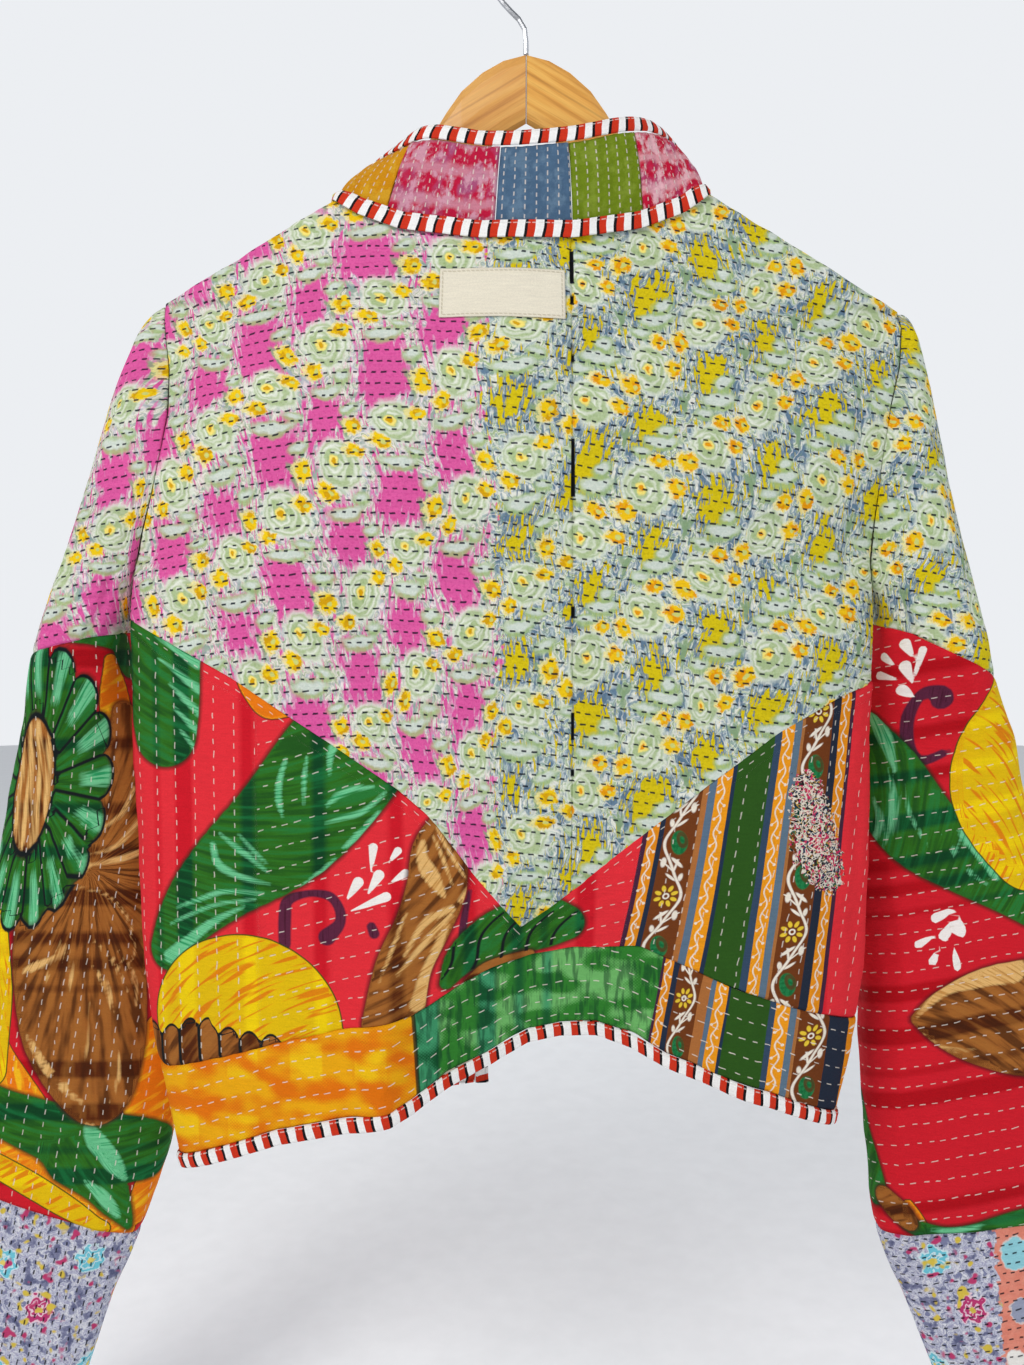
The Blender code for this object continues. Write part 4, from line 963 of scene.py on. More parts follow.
def brushed(x, z, points):
    """How far inside a brushed shape each place is: the brush runs through x, z and half width."""
    best = np.full(x.shape, -40.0)
    path = smooth_path(points)
    for (ax, az, ar), (bx, bz, br) in zip(path, path[1:]):
        run_x, run_z = bx - ax, bz - az
        part = np.clip(((x - ax) * run_x + (z - az) * run_z) / max(run_x**2 + run_z**2, 1e-9), 0.0, 1.0)
        away = np.hypot(x - ax - part * run_x, z - az - part * run_z)
        best = np.maximum(best, ar + (br - ar) * part - away)
    return best


def strokes(ink, *paths):
    """Brush strokes in one ink that have no grain of their own."""
    return [(ink, None, 0, path) for path in paths]


def drops(*rows):
    """White drops: each from its round head to its thin tail."""
    paths = []
    for x, z, head, to_x, to_z in rows:
        paths.append(((x, z, head), ((x + to_x) / 2, (z + to_z) / 2, head * 0.62), (to_x, to_z, 0.3)))
    return strokes("drop", *paths)


def painted(x, z, shapes, bands, extra=()):
    """The print's fields: how far inside each ink a place is, the brush's grain and the woven bands.

    Pen lines run where their own field passes through nought.
    """
    inks = {name: np.full(x.shape, -40.0) for name in INKS}
    over, along = x * 1.0, z * 1.0
    for ink, angle, bend, points in shapes:
        inside = brushed(x, z, points)
        inks[ink] = np.maximum(inks[ink], inside)
        if isinstance(angle, tuple):
            # strokes that fan out from one place
            dx, dz = x - angle[0], z - angle[1]
            over = np.where(inside > 0, np.arctan2(dx, -dz) * 70.0, over)
            along = np.where(inside > 0, np.hypot(dx, dz), along)
        elif angle is not None:
            turn = math.radians(angle)
            dx, dz = x - points[0][0], z - points[0][1]
            mine_along = dx * math.cos(turn) + dz * math.sin(turn)
            mine_over = dz * math.cos(turn) - dx * math.sin(turn) + bend * mine_along**2 / 100
            over = np.where(inside > 0, mine_over + 300 * turn, over)
            along = np.where(inside > 0, mine_along, along)
    for ink, inside in extra:
        nearer = np.abs(inside) < np.abs(inks[ink]) if ink == "pen" else inside > inks[ink]
        inks[ink] = np.where(nearer, inside, inks[ink])
    return (
        ("ink_a", np.stack([inks["green"], inks["yellow"], inks["brown"]], axis=-1)),
        ("ink_b", np.stack([inks["drop"], inks["plum"], inks["orange"]], axis=-1)),
        ("ink_c", np.stack([inks["tan"], inks["pen"], bands + 0 * x], axis=-1)),
        ("grain", np.stack([over, along, 0 * x], axis=-1)),
    )


def field(made, name):
    return made.split(made.node("Attribute", out=1, attribute_name=name, attribute_type="GEOMETRY"))


BORDER_STRIPES = (
    # width in millimetres and colour of each printed stripe, from the leaves' side outwards
    (2.4, rgb(70, 36, 60)), (5.6, rgb(226, 138, 24)), (2.6, rgb(34, 46, 66)), (17.6, rgb(112, 58, 24)),
    (3.1, rgb(172, 108, 56)), (3.8, rgb(90, 112, 134)), (7.9, rgb(234, 150, 24)), (2.6, rgb(34, 50, 74)),
    (18.8, rgb(44, 84, 26)), (3.9, rgb(52, 72, 96)), (6.8, rgb(234, 150, 24)), (4.1, rgb(92, 114, 132)),
    (1.8, rgb(168, 108, 58)), (16.6, rgb(110, 56, 22)), (5.0, rgb(34, 42, 58)), (6.9, rgb(228, 140, 22)),
    (2.8, rgb(66, 36, 58)),
)
BORDER_WIDE = sum(width for width, _ in BORDER_STRIPES)
VINES, SCROLLS = (5.2, 39.0, 71.7, 106.0), (19.4, 89.3)


def print_border(made, across, along):
    """The printed border: stripes with white vines, and brown ones with scrolls and flowers."""
    white, yellow = rgb(236, 226, 210), rgb(230, 196, 56)
    ground, made.colour = made.colour, made.steps(across, BORDER_WIDE, *BORDER_STRIPES)
    for number, middle in enumerate(VINES):
        off = across - middle
        vine = (along * (2 * math.pi / 15.0) + number * 1.7).sine() * 1.3
        past = (along + number * (1.7 * 15.0 / 2 / math.pi)) % 7.5 - 3.75
        bud = 0.8 - ((off + vine * 1.7) * (off + vine * 1.7) + past * past) ** 0.5
        stem = (0.3 - abs(off + vine * (1.7 - past * 0.95)) * 0.8).low(past + 0.2).low(2.6 - past)
        drawn = (0.36 - abs(off - vine) * 0.9).high(stem).high(bud)
        made.ink(drawn.inside(0.4) * 0.95, white)
    for number, middle in enumerate(SCROLLS):
        off, run = across - middle, along + number * 20.7 - 3.0
        turn = run * (2 * math.pi / 62.0)
        curl = turn.sine() * 6.3 - (turn * 3.0).sine() * 0.6
        inside = 8.2 - abs(off)
        line = 0.65 - abs(off - curl) * 0.8
        # where the scroll crosses over, two pairs of curled leaves spring from it
        cross = (run + 15.5) % 31.0 - 15.5
        side = off - curl
        leaves = oval_ink(abs(side) - 3.6, cross - 4.2, 1.3, 3.3, 0.6)
        leaves = leaves.high(oval_ink(abs(side) - 2.6, cross + 4.4, 1.0, 2.7, -0.7))
        shoots = (0.5 - abs(abs(side) - (cross + 1.0) * 0.7) * 0.8).low(4.5 - abs(cross - 1.5))
        made.ink(line.high(leaves).high(shoots).low(inside).inside(0.5), white)
        # a flower stands in one bend of the scroll and a green fruit in the next
        fx, fy = off + curl * 0.14, run % 31.0 - 15.5
        which = ((run / 62.0) % 1.0).math("LESS_THAN", 0.5)
        reach = (fx * fx + fy * fy) ** 0.5
        angle = fy.math("ARCTAN2", fx)
        aside = ((angle * (8.0 / 2 / math.pi)) % 1.0 - 0.5) * (2 * math.pi / 8.0) * reach
        petals = 1.15 - (((reach - 4.7) * 0.62) * ((reach - 4.7) * 0.62) + aside * aside) ** 0.5
        made.ink(petals.low(inside).inside(0.4) * which, yellow)
        made.ink((0.45 - abs(reach - 1.4)).inside(0.4) * which, white)
        fruit = oval_ink(fx, fy, 4.4, 7.0, 0.25)
        pip = (0.7 - abs(oval_ink(fx - 1.2, fy - 1.6, 2.0, 3.6, 0.4)) * 0.9).low(fy + 3.0)
        dabs = made.noise(made.join(fx, fy, 3.0), 2.2)
        green = made.blend(((dabs - 0.5) * 6.0).inside(1.0) * 0.5, rgb(20, 104, 56), rgb(44, 138, 80))
        made.ink(fruit.low(inside).inside(0.6) * (1.0 - which), green)
        made.ink(pip.low(fruit).inside(0.5) * (1.0 - which) * 0.8, rgb(84, 56, 26))
    inside = (across.low(BORDER_WIDE - across)).inside(0.4)
    made.colour = made.blend(inside, ground, made.colour)


def leaf_print(name, bordered=False, reds=(rgb(204, 22, 38), rgb(226, 46, 56))):
    made = Finish(name, roughness=0.84)
    _, _, place = made.along()
    green, yellow, brown = field(made, "ink_a")
    drop, plum, orange = field(made, "ink_b")
    tan, pen, bands = field(made, "ink_c")
    over, along, _ = field(made, "grain")
    # the sari's woven bands lighten every printed colour a little
    band = ((made.streaks(bands * 0.075, 3.0, detail=0.0) - 0.5) * 9.0 + 0.5).inside(1.0)
    stroke = made.streaks(over * 0.2, along * 0.026, detail=2.0, rough=0.5)
    fine = made.streaks(over * 0.8, along * 0.05, detail=1.0)
    light, dark = ((stroke - 0.56) * 8.0).inside(1.0), ((0.45 - stroke) * 8.0).inside(1.0)
    streak = ((fine - 0.5) * 6.0 + 0.5).inside(1.0)
    brushed_on = (tan + (fine - 0.5) * 2.2).inside(1.6)
    made.colour = made.blend(band, *reds)
    made.ink(plum.inside(1.0) * 0.95, made.blend(streak, rgb(52, 24, 46), rgb(76, 36, 62)))
    made.ink(drop.inside(0.4), rgb(242, 236, 230))
    sliver = made.blend(light, rgb(232, 120, 16), rgb(246, 186, 30))
    made.ink((orange + 0.6).inside(0.6), rgb(70, 50, 24))
    made.ink(orange.inside(0.5), sliver)
    # green leaves: two greens in the bands, soft emerald brush strokes and a dark rim
    leaf = made.blend(band, rgb(12, 72, 34), rgb(46, 108, 26))
    leaf = made.blend(dark * 0.5, leaf, rgb(6, 50, 28))
    leaf = made.blend(light * 0.45, leaf, rgb(28, 128, 70))
    leaf = made.blend(brushed_on * 0.9, leaf, made.blend(streak, rgb(44, 158, 100), rgb(116, 204, 150)))
    made.ink((green + 1.4).inside(2.6) * 0.85, rgb(22, 34, 24))
    made.ink(green.inside(0.8), leaf)
    # brown leaves with tan swooshes
    wood = made.blend(band, rgb(92, 42, 12), rgb(156, 94, 40))
    wood = made.blend(dark * 0.75, wood, rgb(60, 26, 8))
    wood = made.blend(light * 0.4, wood, rgb(176, 114, 50))
    wood = made.blend(brushed_on, wood, made.blend(streak, rgb(196, 140, 72), rgb(226, 180, 112)))
    made.ink((brown + 1.4).inside(2.4) * 0.8, rgb(60, 20, 26))
    made.ink(brown.inside(0.7), wood)
    # yellow petals with slanting orange strokes inside a thin green line
    petal = made.blend(band, rgb(240, 206, 8), rgb(226, 186, 10))
    lash = made.streaks(over * 0.34, along * 0.03 + 50.0, detail=1.0)
    petal = made.blend(((lash - 0.58) * 14.0).inside(1.0) * 0.85, petal, rgb(222, 116, 12))
    made.ink((yellow + 0.7).inside(0.5), rgb(40, 66, 22))
    made.ink(yellow.inside(0.5), petal)
    made.ink((0.75 - abs(pen)).inside(0.6), rgb(20, 26, 28))
    if bordered:
        across, up, darned = field(made, "border")
        print_border(made, across, up)
        darn(made, darned, place)
    fibres = worn(made, place, fade=0.07)
    dash = stitches(made, WHITE_ROWS, WHITE_PITCH, WHITE_LONG, WHITE_THICK)
    made.ink(dash * 0.6, WHITE_THREAD)
    ripple = puckers(made, size=6.0)
    return made.surface(raised=fibres * 0.12 + ripple - dash * 0.15, deep=1.2)


def darn(made, darned, place):
    """A worn place sewn over and over in odd threads."""
    threads = [rgb(226, 216, 200), rgb(16, 16, 22), rgb(36, 60, 84), rgb(204, 36, 92), rgb(190, 150, 60)]
    edge = darned + (made.noise(place, 3.0, detail=2.0) - 0.5) * 15.0
    patch = made.blend(((made.noise(place, 8.0) - 0.5) * 8.0 + 0.3).inside(1.0), rgb(52, 34, 26), threads[2])
    spots = made.split(made.noise(place, 9.0, detail=1.0, out=1))
    patch = made.blend(((spots[0] - 0.62) * 14.0).inside(1.0), patch, threads[3])
    patch = made.blend(((spots[1] - 0.62) * 14.0).inside(1.0) * 0.8, patch, rgb(24, 96, 66))
    for number in (1, 4, 0, 1, 0, 3, 0):
        shift = (number * 37.0 + len(threads), len(threads) * 9.0, 0.0)
        moved = made.node("VectorMath", [place, shift], operation="ADD")
        curl = made.noise(moved, 4.6, detail=1.0, rough=0.4)
        line = (0.10 - abs((curl * 4.0) % 1.0 - 0.5)) * 7.0
        patch = made.blend(line.inside(0.7) * 0.95, patch, threads[number])
        threads.append(threads[number])
    made.ink(edge.inside(0.8), patch)


def border_edges(z):
    """Where the printed border begins and ends across the back, at one height."""
    return 60.3 + 0.164 * (z + 528.2), 178.0 + 0.10 * (z + 528.2)


def slanted_rows(x, z):
    """Where the white stitches of the lower back run: one row under the V, then down or across."""
    below = along_v(x) - z
    right = x > border_edges(z)[0]
    rows = np.where(x < -150.0, x, np.where(right, x - 0.14 * (z + 528.2), z - 0.27 * x))
    run = np.where((x < -150.0) | right, z, x * 1.04)
    return np.stack([np.where(below < 9.0, x * 1.2, run), np.where(below < 9.0, 10.4 - below, rows)], axis=-1)


BACK_LEAVES = (
    # ink, the angle and bend of its strokes, and its brush: x, z and half width
    ("green", 140, 0.3, ((-209, -366, 26), (-207, -398, 25.5), (-206, -430, 24), (-205, -447, 21))),
    ("green", 228, 0.5, (
        (-70, -424, 26), (-98, -458, 34), (-132, -499, 32), (-170, -529.5, 23.5), (-192, -552, 17),
        (-205, -574, 12),
    )),
    ("orange", 320, 0.0, ((-161, -415, 0.8), (-151, -426, 4.6), (-142.5, -434, 5.4), (-131, -437, 1.5))),
    ("plum", 90, 0.0, (
        (-135, -566, 3.5), (-134.6, -550, 3.6), (-132.5, -541, 3.0), (-121, -537, 2.0),
        (-109.5, -538.5, 2.6), (-103.8, -546, 3.0), (-104, -554, 3.2), (-110, -560.5, 4.6),
        (-111, -561.5, 5.0),
    )),
    ("plum", 90, 0.0, ((-31.5, -536, 1.2), (-35, -553, 2.2), (-36.5, -572, 2.2))),
    ("plum", 90, 0.0, ((-86, -555, 2.6), (-84.5, -559, 3.0))),
    ("brown", 246, 0.4, (
        (-46, -500, 9), (-48.5, -514, 15), (-50, -534, 16.5), (-58, -556, 15.5), (-69, -580, 15.5),
        (-75, -612, 17),
    )),
    *strokes("tan",
        ((-132.7, -461.8, 0.8), (-136.4, -473.7, 1.6), (-137.1, -484.5, 1.8), (-134.9, -494.2, 0.4)),
        ((-120.8, -460.7, 0.5), (-122.6, -473.7, 1.2), (-123, -487.7, 0.4)),
        ((-105.7, -454.2, 2.2), (-107.9, -460.7, 1.8), (-108.3, -470.5, 0.5)),
        ((-84.1, -476.9, 0.6), (-94.9, -478, 1.4), (-104.6, -482.3, 1.6), (-110, -487.7, 0.5)),
        ((-77.6, -480.2, 0.6), (-90.6, -491, 1.4), (-101.4, -494.2, 1.2), (-111.1, -497.5, 0.4)),
        ((-80.8, -491, 1.2), (-92.7, -504, 2.2), (-101.4, -511.5, 0.6)),
        ((-105.7, -516.9, 0.6), (-114.4, -525.6, 1.6), (-125.2, -533.2, 0.5)),
        ((-174.9, -510.5, 1.6), (-171.7, -521.3, 2.2), (-159.8, -527.7, 1.6), (-142.5, -532.1, 0.5)),
        ((-170.6, -504, 0.6), (-159.8, -512.6, 1.6), (-151.1, -519.1, 1.2), (-143.5, -525.6, 0.4)),
        ((-159.8, -504, 0.4), (-151.1, -513.7, 1), (-144.2, -520.2, 0.4)),
        ((-146.8, -537.5, 0.5), (-168.4, -536.4, 1.2), (-185.7, -542.9, 1.2), (-198.7, -548.3, 0.5)),
        ((-151.1, -540.7, 0.4), (-172.7, -544, 0.9), (-187.9, -550.4, 1), (-203, -558, 0.5)),
        ((-157.6, -545, 0.6), (-174.9, -553.7, 2), (-190, -565.6, 3), (-204.1, -577.5, 4)),
        ((-209.5, -393.7, 0.6), (-196.5, -401.3, 1.8), (-182.5, -409.3, 3.2)),
        ((-207.3, -406.7, 0.5), (-194.4, -415.3, 1.4), (-181.8, -424, 2.6)),
        ((-200.8, -420.7, 0.5), (-192.2, -428.3, 1.4), (-181.8, -436.9, 2.6)),
        ((-198.2, -433.7, 0.5), (-190, -441.3, 1.4), (-182.2, -447.8, 2.4)),
        ((-194.4, -446.7, 0.5), (-188.3, -453.2, 1.2), (-183.5, -458.6, 1.8)),
        (
            (-57.1, -508.3, 1.6), (-57.7, -516.9, 3.2), (-53.4, -525.6, 4.4), (-48.4, -534.2, 2.8),
            (-45.6, -539, 0.8),
        ),
        ((-49.5, -499.6, 0.5), (-43, -512.6, 1.2), (-34.4, -527.7, 0.5)),
        ((-51.7, -504, 0.4), (-46.3, -516.9, 1), (-41.3, -532.1, 0.4)),
        ((-41.9, -546.1, 2.2), (-53.8, -551.5, 2), (-61.4, -560.2, 1.6), (-67.9, -572.1, 0.5)),
        ((-41.9, -549.8, 1.4), (-51.7, -559.1, 1.8), (-62.5, -572.1, 1.2), (-72.2, -582.9, 0.4)),
        ((-44.7, -554.8, 1.6), (-50.6, -571, 2.8), (-54.9, -584, 4.6), (-61.4, -601.3, 4.2)),
        ((-26.8, -529.9, 1.8), (-32.2, -536.4, 2.4), (-37, -541.8, 1.2)),
        ((-66.8, -547.2, 0.4), (-73.3, -564.5, 0.9), (-81.9, -586.1, 0.4)),
    ),
    ("yellow", 38, 0.4, ((-160, -616, 54.5), (-158, -617, 54.5))),
    ("green", 70, 0.5, ((-45, -590, 4), (-35, -575, 10), (-14, -562, 15), (8, -556, 16), (22, -556, 11))),
    ("brown", 10, 0.0, ((-34, -590.5, 1.5), (-22, -581.5, 2.6), (2, -575.5, 3.0))),
    *drops(
        (-84.5, -510.5, 2.5, -85.8, -524.0), (-71.0, -512.5, 2.2, -76.0, -519.0),
        (-81.5, -526.0, 3.0, -88.0, -537.0), (-93.0, -530.0, 3.0, -99.8, -540.5),
        (-67.0, -525.0, 2.4, -75.0, -530.0), (-77.5, -538.0, 2.7, -97.5, -546.5),
    ),
)


def back_pens(x, z):
    """The scalloped flower by the hem, the lines between its lobes, and those of the frilled leaf."""
    lobe = (x + 212.0) % 12.4 - 6.2
    top = -611.5 - 0.11 * (x + 212.0) * (x > -180.0) - 0.9 * lobe**2 / 6.2
    top = top - 9.0 * np.clip((-190.0 - x) / 20.0, 0.0, 1.0)
    scallop = np.minimum(top - z, -137.0 - x)
    lobes = np.where((scallop > 0.5) & (z < top - 1.0), 3.0 * np.sin(np.pi * (x + 212.0) / 12.4), -40.0)
    frill = 3.5 * np.sin(np.pi * (x * 0.8 - z * 0.5 + 3 * np.sin(z / 7.0)) / 11.0)
    return scallop, lobes, frill


red_sari = leaf_print("leaf print")
bordered_sari = leaf_print("leaf print with its border", bordered=True)
BACK_COLUMNS, MIDDLE_COLUMN, BACK_ROWS, BAND_ROWS = 270, 143, 130, 42
columns_back = -233 + 437.5 * crowd(BACK_COLUMNS, left=0.03, right=0.03)
tops = along_v(columns_back) - V_GAP
back_across = x_to_across(columns_back, along_v(columns_back))
back_across[0], back_across[-1] = 0.0, 1.0
points, facing, feet = hung("back", back_across, tops, BAND_TOP, BACK_ROWS, lower_lift)
x, z = points[..., 0], points[..., 2]
scallop, lobes, frill = back_pens(x, z)
drawn = painted(x, z, BACK_LEAVES, x, (("brown", scallop), ("pen", scallop), ("pen", lobes)))
# the scalloped flower lies over the yellow petal, and the frill's lines stay on their own leaf
inks_a, inks_c = drawn[0][1], drawn[2][1]
inks_a[..., 1] = np.minimum(inks_a[..., 1], -scallop)
inks_c[..., 1] = np.where((inks_a[..., 0] > 0.5) & (x > -49) & (z < -548), frill, inks_c[..., 1])
from_edge, to_edge = border_edges(z)
across = (x - from_edge) / (to_edge - from_edge) * BORDER_WIDE
darned = brushed(x, z, ((156, -479, 9), (160, -497, 12), (164, -515, 14), (172, -531, 9)))
border = ("border", np.stack([across, z * 1.0, darned], axis=-1))
tucked, rows = tuck(points, facing, 1.0), slanted_rows(x, z)
flat = unrolled(points, MIDDLE_COLUMN)
back_lower = cloth("back_lower_cloth", tucked, flat, bordered_sari, rows, (*drawn, border))
sewn("back_lower", "leaf_print", points)

# Back band: a strip of the same printed sari sewn along the lower edge, orange at its left and green
# beyond, with its own piece of the border at the right. White stitches run along it.
BAND_BORDER = (
    # across the band in millimetres, and which place of the border's stripes that is
    (60, 76.7, 81.6, 85.0, 98.0, 104.0, 106.0, 113.1, 114.6, 139.0, 142.3, 150.8, 155.0, 176.0, 220.0),
    (-30, 2.4, 8.0, 10.6, 28.2, 31.3, 35.1, 43.0, 45.6, 64.4, 68.3, 75.1, 79.2, 97.6, 112.0),
)


def band_print():
    """The band's cloth: orange squares, then greens with dotted lights, then the same border."""
    made = Finish("band print", roughness=0.84)
    _, _, place = made.along()
    shown, border, _ = field(made, "band")
    up, _, _ = field(made, "band_run")
    cloud = made.streaks(shown * 0.045, up * 0.07, detail=1.0)
    dots = ((shown * 3.3).sine() * (up * 3.3).sine() * 0.5 + 0.5) * 0.5
    square = ((shown * (2 * math.pi / 37.0) + 0.7).sine() * 6.0).inside(1.0)
    cross = ((up * (2 * math.pi / 44.0) + 1.0).sine() * 4.0).inside(1.0)
    warm = ((cloud - 0.5) * 5.0 + dots - 0.2).inside(1.0)
    orange = made.blend(warm, rgb(224, 116, 10), rgb(240, 190, 18))
    orange = made.blend(square.high(cross) * 0.35, orange, rgb(222, 108, 8))
    band = ((made.streaks(shown * 0.062, 9.0, detail=0.0) - 0.5) * 12.0 + 0.5).inside(1.0)
    green = made.blend(band, rgb(16, 82, 44), rgb(48, 124, 44))
    ray = made.streaks(shown * 0.03 + up * 0.035, up * 0.05 - shown * 0.02, detail=1.0)
    glow = ((ray - 0.52) * 9.0 + dots - 0.3).inside(1.0)
    green = made.blend(glow * 0.7, green, made.blend(band, rgb(74, 168, 118), rgb(128, 200, 118)))
    shade = made.streaks(shown * 0.35, up * 0.05, detail=2.0)
    green = made.blend(((shade - 0.55) * 8.0).inside(1.0) * 0.6, green, rgb(10, 56, 36))
    edge = shown + 62.0 + (up + 640.0) * 0.05
    made.colour = made.blend(edge.inside(0.8), orange, green)
    made.ink((1.1 - abs(edge)).inside(0.6) * 0.9, rgb(34, 40, 26))
    print_border(made, border, up)
    fibres = worn(made, place, fade=0.06)
    dash = stitches(made, WHITE_ROWS_BAND, WHITE_PITCH, WHITE_LONG, WHITE_THICK)
    made.ink(dash * 0.7, WHITE_THREAD)
    ripple = puckers(made, size=6.0)
    return made.surface(raised=fibres * 0.12 + ripple - dash * 0.15, deep=1.2)


def band_places(x, z, across_at):
    """The band's print: x for its clouds, how far over the border a place is, and its height."""
    border = np.interp(across_at, *BAND_BORDER)
    fields = np.stack([x, border, 0 * x], axis=-1)
    return ("band", fields), ("band_run", np.stack([z + 0.0 * x, 0 * x, 0 * x], axis=-1))


green_band = band_print()
points, facing, feet = hung("back", back_across, feet - SEAM_GAP, HEM_TOP, BAND_ROWS, band_lift)
x, z = points[..., 0], points[..., 2]
hem_rows = np.stack([x, z - read(HEM_TOP, "x", x, "z")], axis=-1)
tucked, flat = tuck(points, facing, 0.9), unrolled(points, MIDDLE_COLUMN)
drawn = band_places(x, z, x - 0.12 * (z + 599.0))
back_band = cloth("back_band_cloth", tucked, flat, green_band, hem_rows, drawn)
sewn("back_band", "green_print", points)

# Hem binding: a bias strip of cotton printed with stripes across it, folded over the back's raw edge
# and sewn down with white thread.
HEM_FOOT = dict(x=HEM_TOP["x"], z=HEM_TOP["z"] - BINDING_WIDE)
# how a strip swells over the edge it binds, across its width
SWELL = table("part rise", (0, 0.2), (0.08, 1.0), (0.25, 1.5), (0.5, 1.5), (0.75, 1.6), (0.92, 1.2), (1, 0.1))
STRIPE_REPEAT = 10.2


def striped_strip(name, order, lean):
    """Cotton printed with stripes across the strip, a line of white stitches along its inner edge."""
    made = Finish(name, roughness=0.8)
    along, over, place = made.along()
    wobble = (made.noise(place, 9.0, detail=0.0) - 0.5) * 1.4
    at = (along + over * lean + wobble) % STRIPE_REPEAT
    made.colour = made.steps(at, STRIPE_REPEAT, *order)
    fibres = worn(made, place, fade=0.03)
    sewn_at = (1.3 - abs((along + 0.4 * wobble) % 3.6 - 1.8)) * 2.0
    line = (0.32 - abs(over + 1.7 + wobble * 0.2)).low(sewn_at).inside(0.3)
    made.ink(line * 0.5, rgb(236, 232, 226))
    return made.surface(raised=fibres * 0.6 - line * 0.5, deep=0.3)


WHITE_STRIPE, BLACK_STRIPE, RED_STRIPE = rgb(242, 240, 238), rgb(22, 20, 24), rgb(204, 52, 28)
HEM_STRIPES = ((4.1, RED_STRIPE), (1.6, BLACK_STRIPE), (4.5, WHITE_STRIPE))
striped_hem = striped_strip("striped binding", HEM_STRIPES, 0.15)
STRIP_ROWS = 13


def strip_run(points):
    """The strip's own places: length along its middle, and distance across it."""
    middle = points[len(points) // 2]
    run = np.concatenate([[0.0], np.cumsum(np.linalg.norm(np.diff(middle, axis=0), axis=-1))])
    down = np.linalg.norm(np.diff(points, axis=0), axis=-1)
    down = np.concatenate([np.zeros((1, points.shape[1])), np.cumsum(down, axis=0)])
    return np.stack([np.broadcast_to(run, down.shape), -down], axis=-1)


def bound_edge(name, face, across, tops, foot_line):
    """The binding along one hem: a rounded strip, with its puckers where it is stitched."""
    points, facing, _ = hung(face, across, tops, foot_line, STRIP_ROWS, lambda x, z: 0 * x)
    part = np.linspace(0.0, 1.0, STRIP_ROWS)[:, None]
    rise = read(SWELL, "part", part, "rise") + 0.3 * rumple(points[..., 0], points[..., 2] * 2, 7.0, 33)
    points = points + facing * rise[..., None]
    piece = cloth(name + "_cloth", points, strip_run(points), striped_hem, thick=2.4, inner=striped_hem)
    sewn(name, "striped_binding", points)


bound_edge("back_hem_binding", "back", back_across, feet - SEAM_GAP, HEM_FOOT)

# Label: a blank strip of woven cotton tape, sewn to the left half of the yoke along its four sides
# with a matching thread.
LABEL_CORNERS = ((-48, -190), (21, -192.5), (-48.5, -218.5), (21.2, -221))
tape = Finish("label tape", roughness=0.86)
across, up, place = tape.along()
ribs = (across * (2 * math.pi / 1.1)).sine() * (up * (2 * math.pi / 0.9)).sine()
edge = (across - 1.6).low(67.4 - across).low(-1.5 - up).low(up + 27.5)
thread = (0.35 - abs(edge)).low((0.9 - abs((across + up) % 2.6 - 1.3)) * 2.0).inside(0.3)
tape.colour = tape.node("CombineXYZ", rgb(236, 228, 208)[:3])
fibres = worn(tape, place, fade=0.03)
tape.colour = tape.shade(tape.colour, ribs * 0.035 + 0.99)
tape.ink(thread * 0.8, rgb(206, 194, 168))
label_tape = tape.surface(raised=ribs * 0.4 + fibres * 0.3 - thread, deep=0.2)
side, down = np.linspace(0.0, 1.0, 70), np.linspace(0.0, 1.0, 34)[:, None]
top_x, top_z, foot_x, foot_z = (
    start[k] + (end[k] - start[k]) * side
    for start, end in (LABEL_CORNERS[:2], LABEL_CORNERS[2:])
    for k in (0, 1)
)
x, z = top_x + (foot_x - top_x) * down, top_z + (foot_z - top_z) * down
points = body("back", x_to_across(x, z), z)
facing = outward(points)
lift = 1.05 + quilted("back")(x, z) + 0.25 * rumple(x, z, 9.0, 41) * np.sin(np.pi * down)
points = points + facing * lift[..., None]
flat = np.stack([69 * side + 0 * down, 0 * side - 29 * down], axis=-1)
label = cloth("label_cloth", points, flat, label_tape, thick=0.5)
sewn("label", "label_tape", points)

# Fronts: upper, lower and band on each side of the open middle, as the back is, with the same
# striped binding round the hem and up both front edges. They hang away from the viewer.
NECK_FRONT = dict(
    left=table("x z", (-109, -140.3), (-101, -160), (-82, -184), (-56, -204), (-34, -214)),
    right=table("x z", (103.5, -137.2), (96, -160), (78, -184), (52, -204), (32, -214)),
)
FRONT_EDGE = dict(
    left=table("z x", (-214, -34), (-400, -36), (-712, -33)),
    right=table("z x", (-214, 32), (-400, 31), (-712, 25)),
)
FRONT_SEAM = table("x z", (-236, -383), (-33, -402), (30, -402), (206, -420))
FRONT_BAND_TOP = table("x z", (-236, -648), (-33, -632), (0, -612), (25, -585), (100, -594), (210, -624))
FRONT_HEM_TOP = table(
    "x z",
    (-236, -703), (-205, -698.5), (-33, -686), (0, -664), (25, -640), (100, -650), (180, -672), (205, -677),
)
FRONT_CREASES = (
    # x z to_x to_z wide rise
    (-200, -230, -172, -400, 10, 1.6), (-150, -210, -128, -420, 14, -1.6), (-100, -230, -96, -640, 14, 1.8),
    (-62, -240, -70, -690, 12, -1.7), (-180, -400, -190, -690, 13, 1.5), (-140, -430, -132, -700, 12, -1.5),
    (190, -240, 168, -410, 10, 1.6), (146, -205, 124, -420, 14, -1.6), (98, -235, 90, -650, 14, 1.8),
    (60, -240, 66, -640, 12, -1.7), (168, -430, 158, -670, 13, 1.5), (128, -430, 122, -660, 12, -1.5),
    (228, -372, 150, -350, 9, -1.0), (-228, -372, -150, -350, 9, -1.0),
)
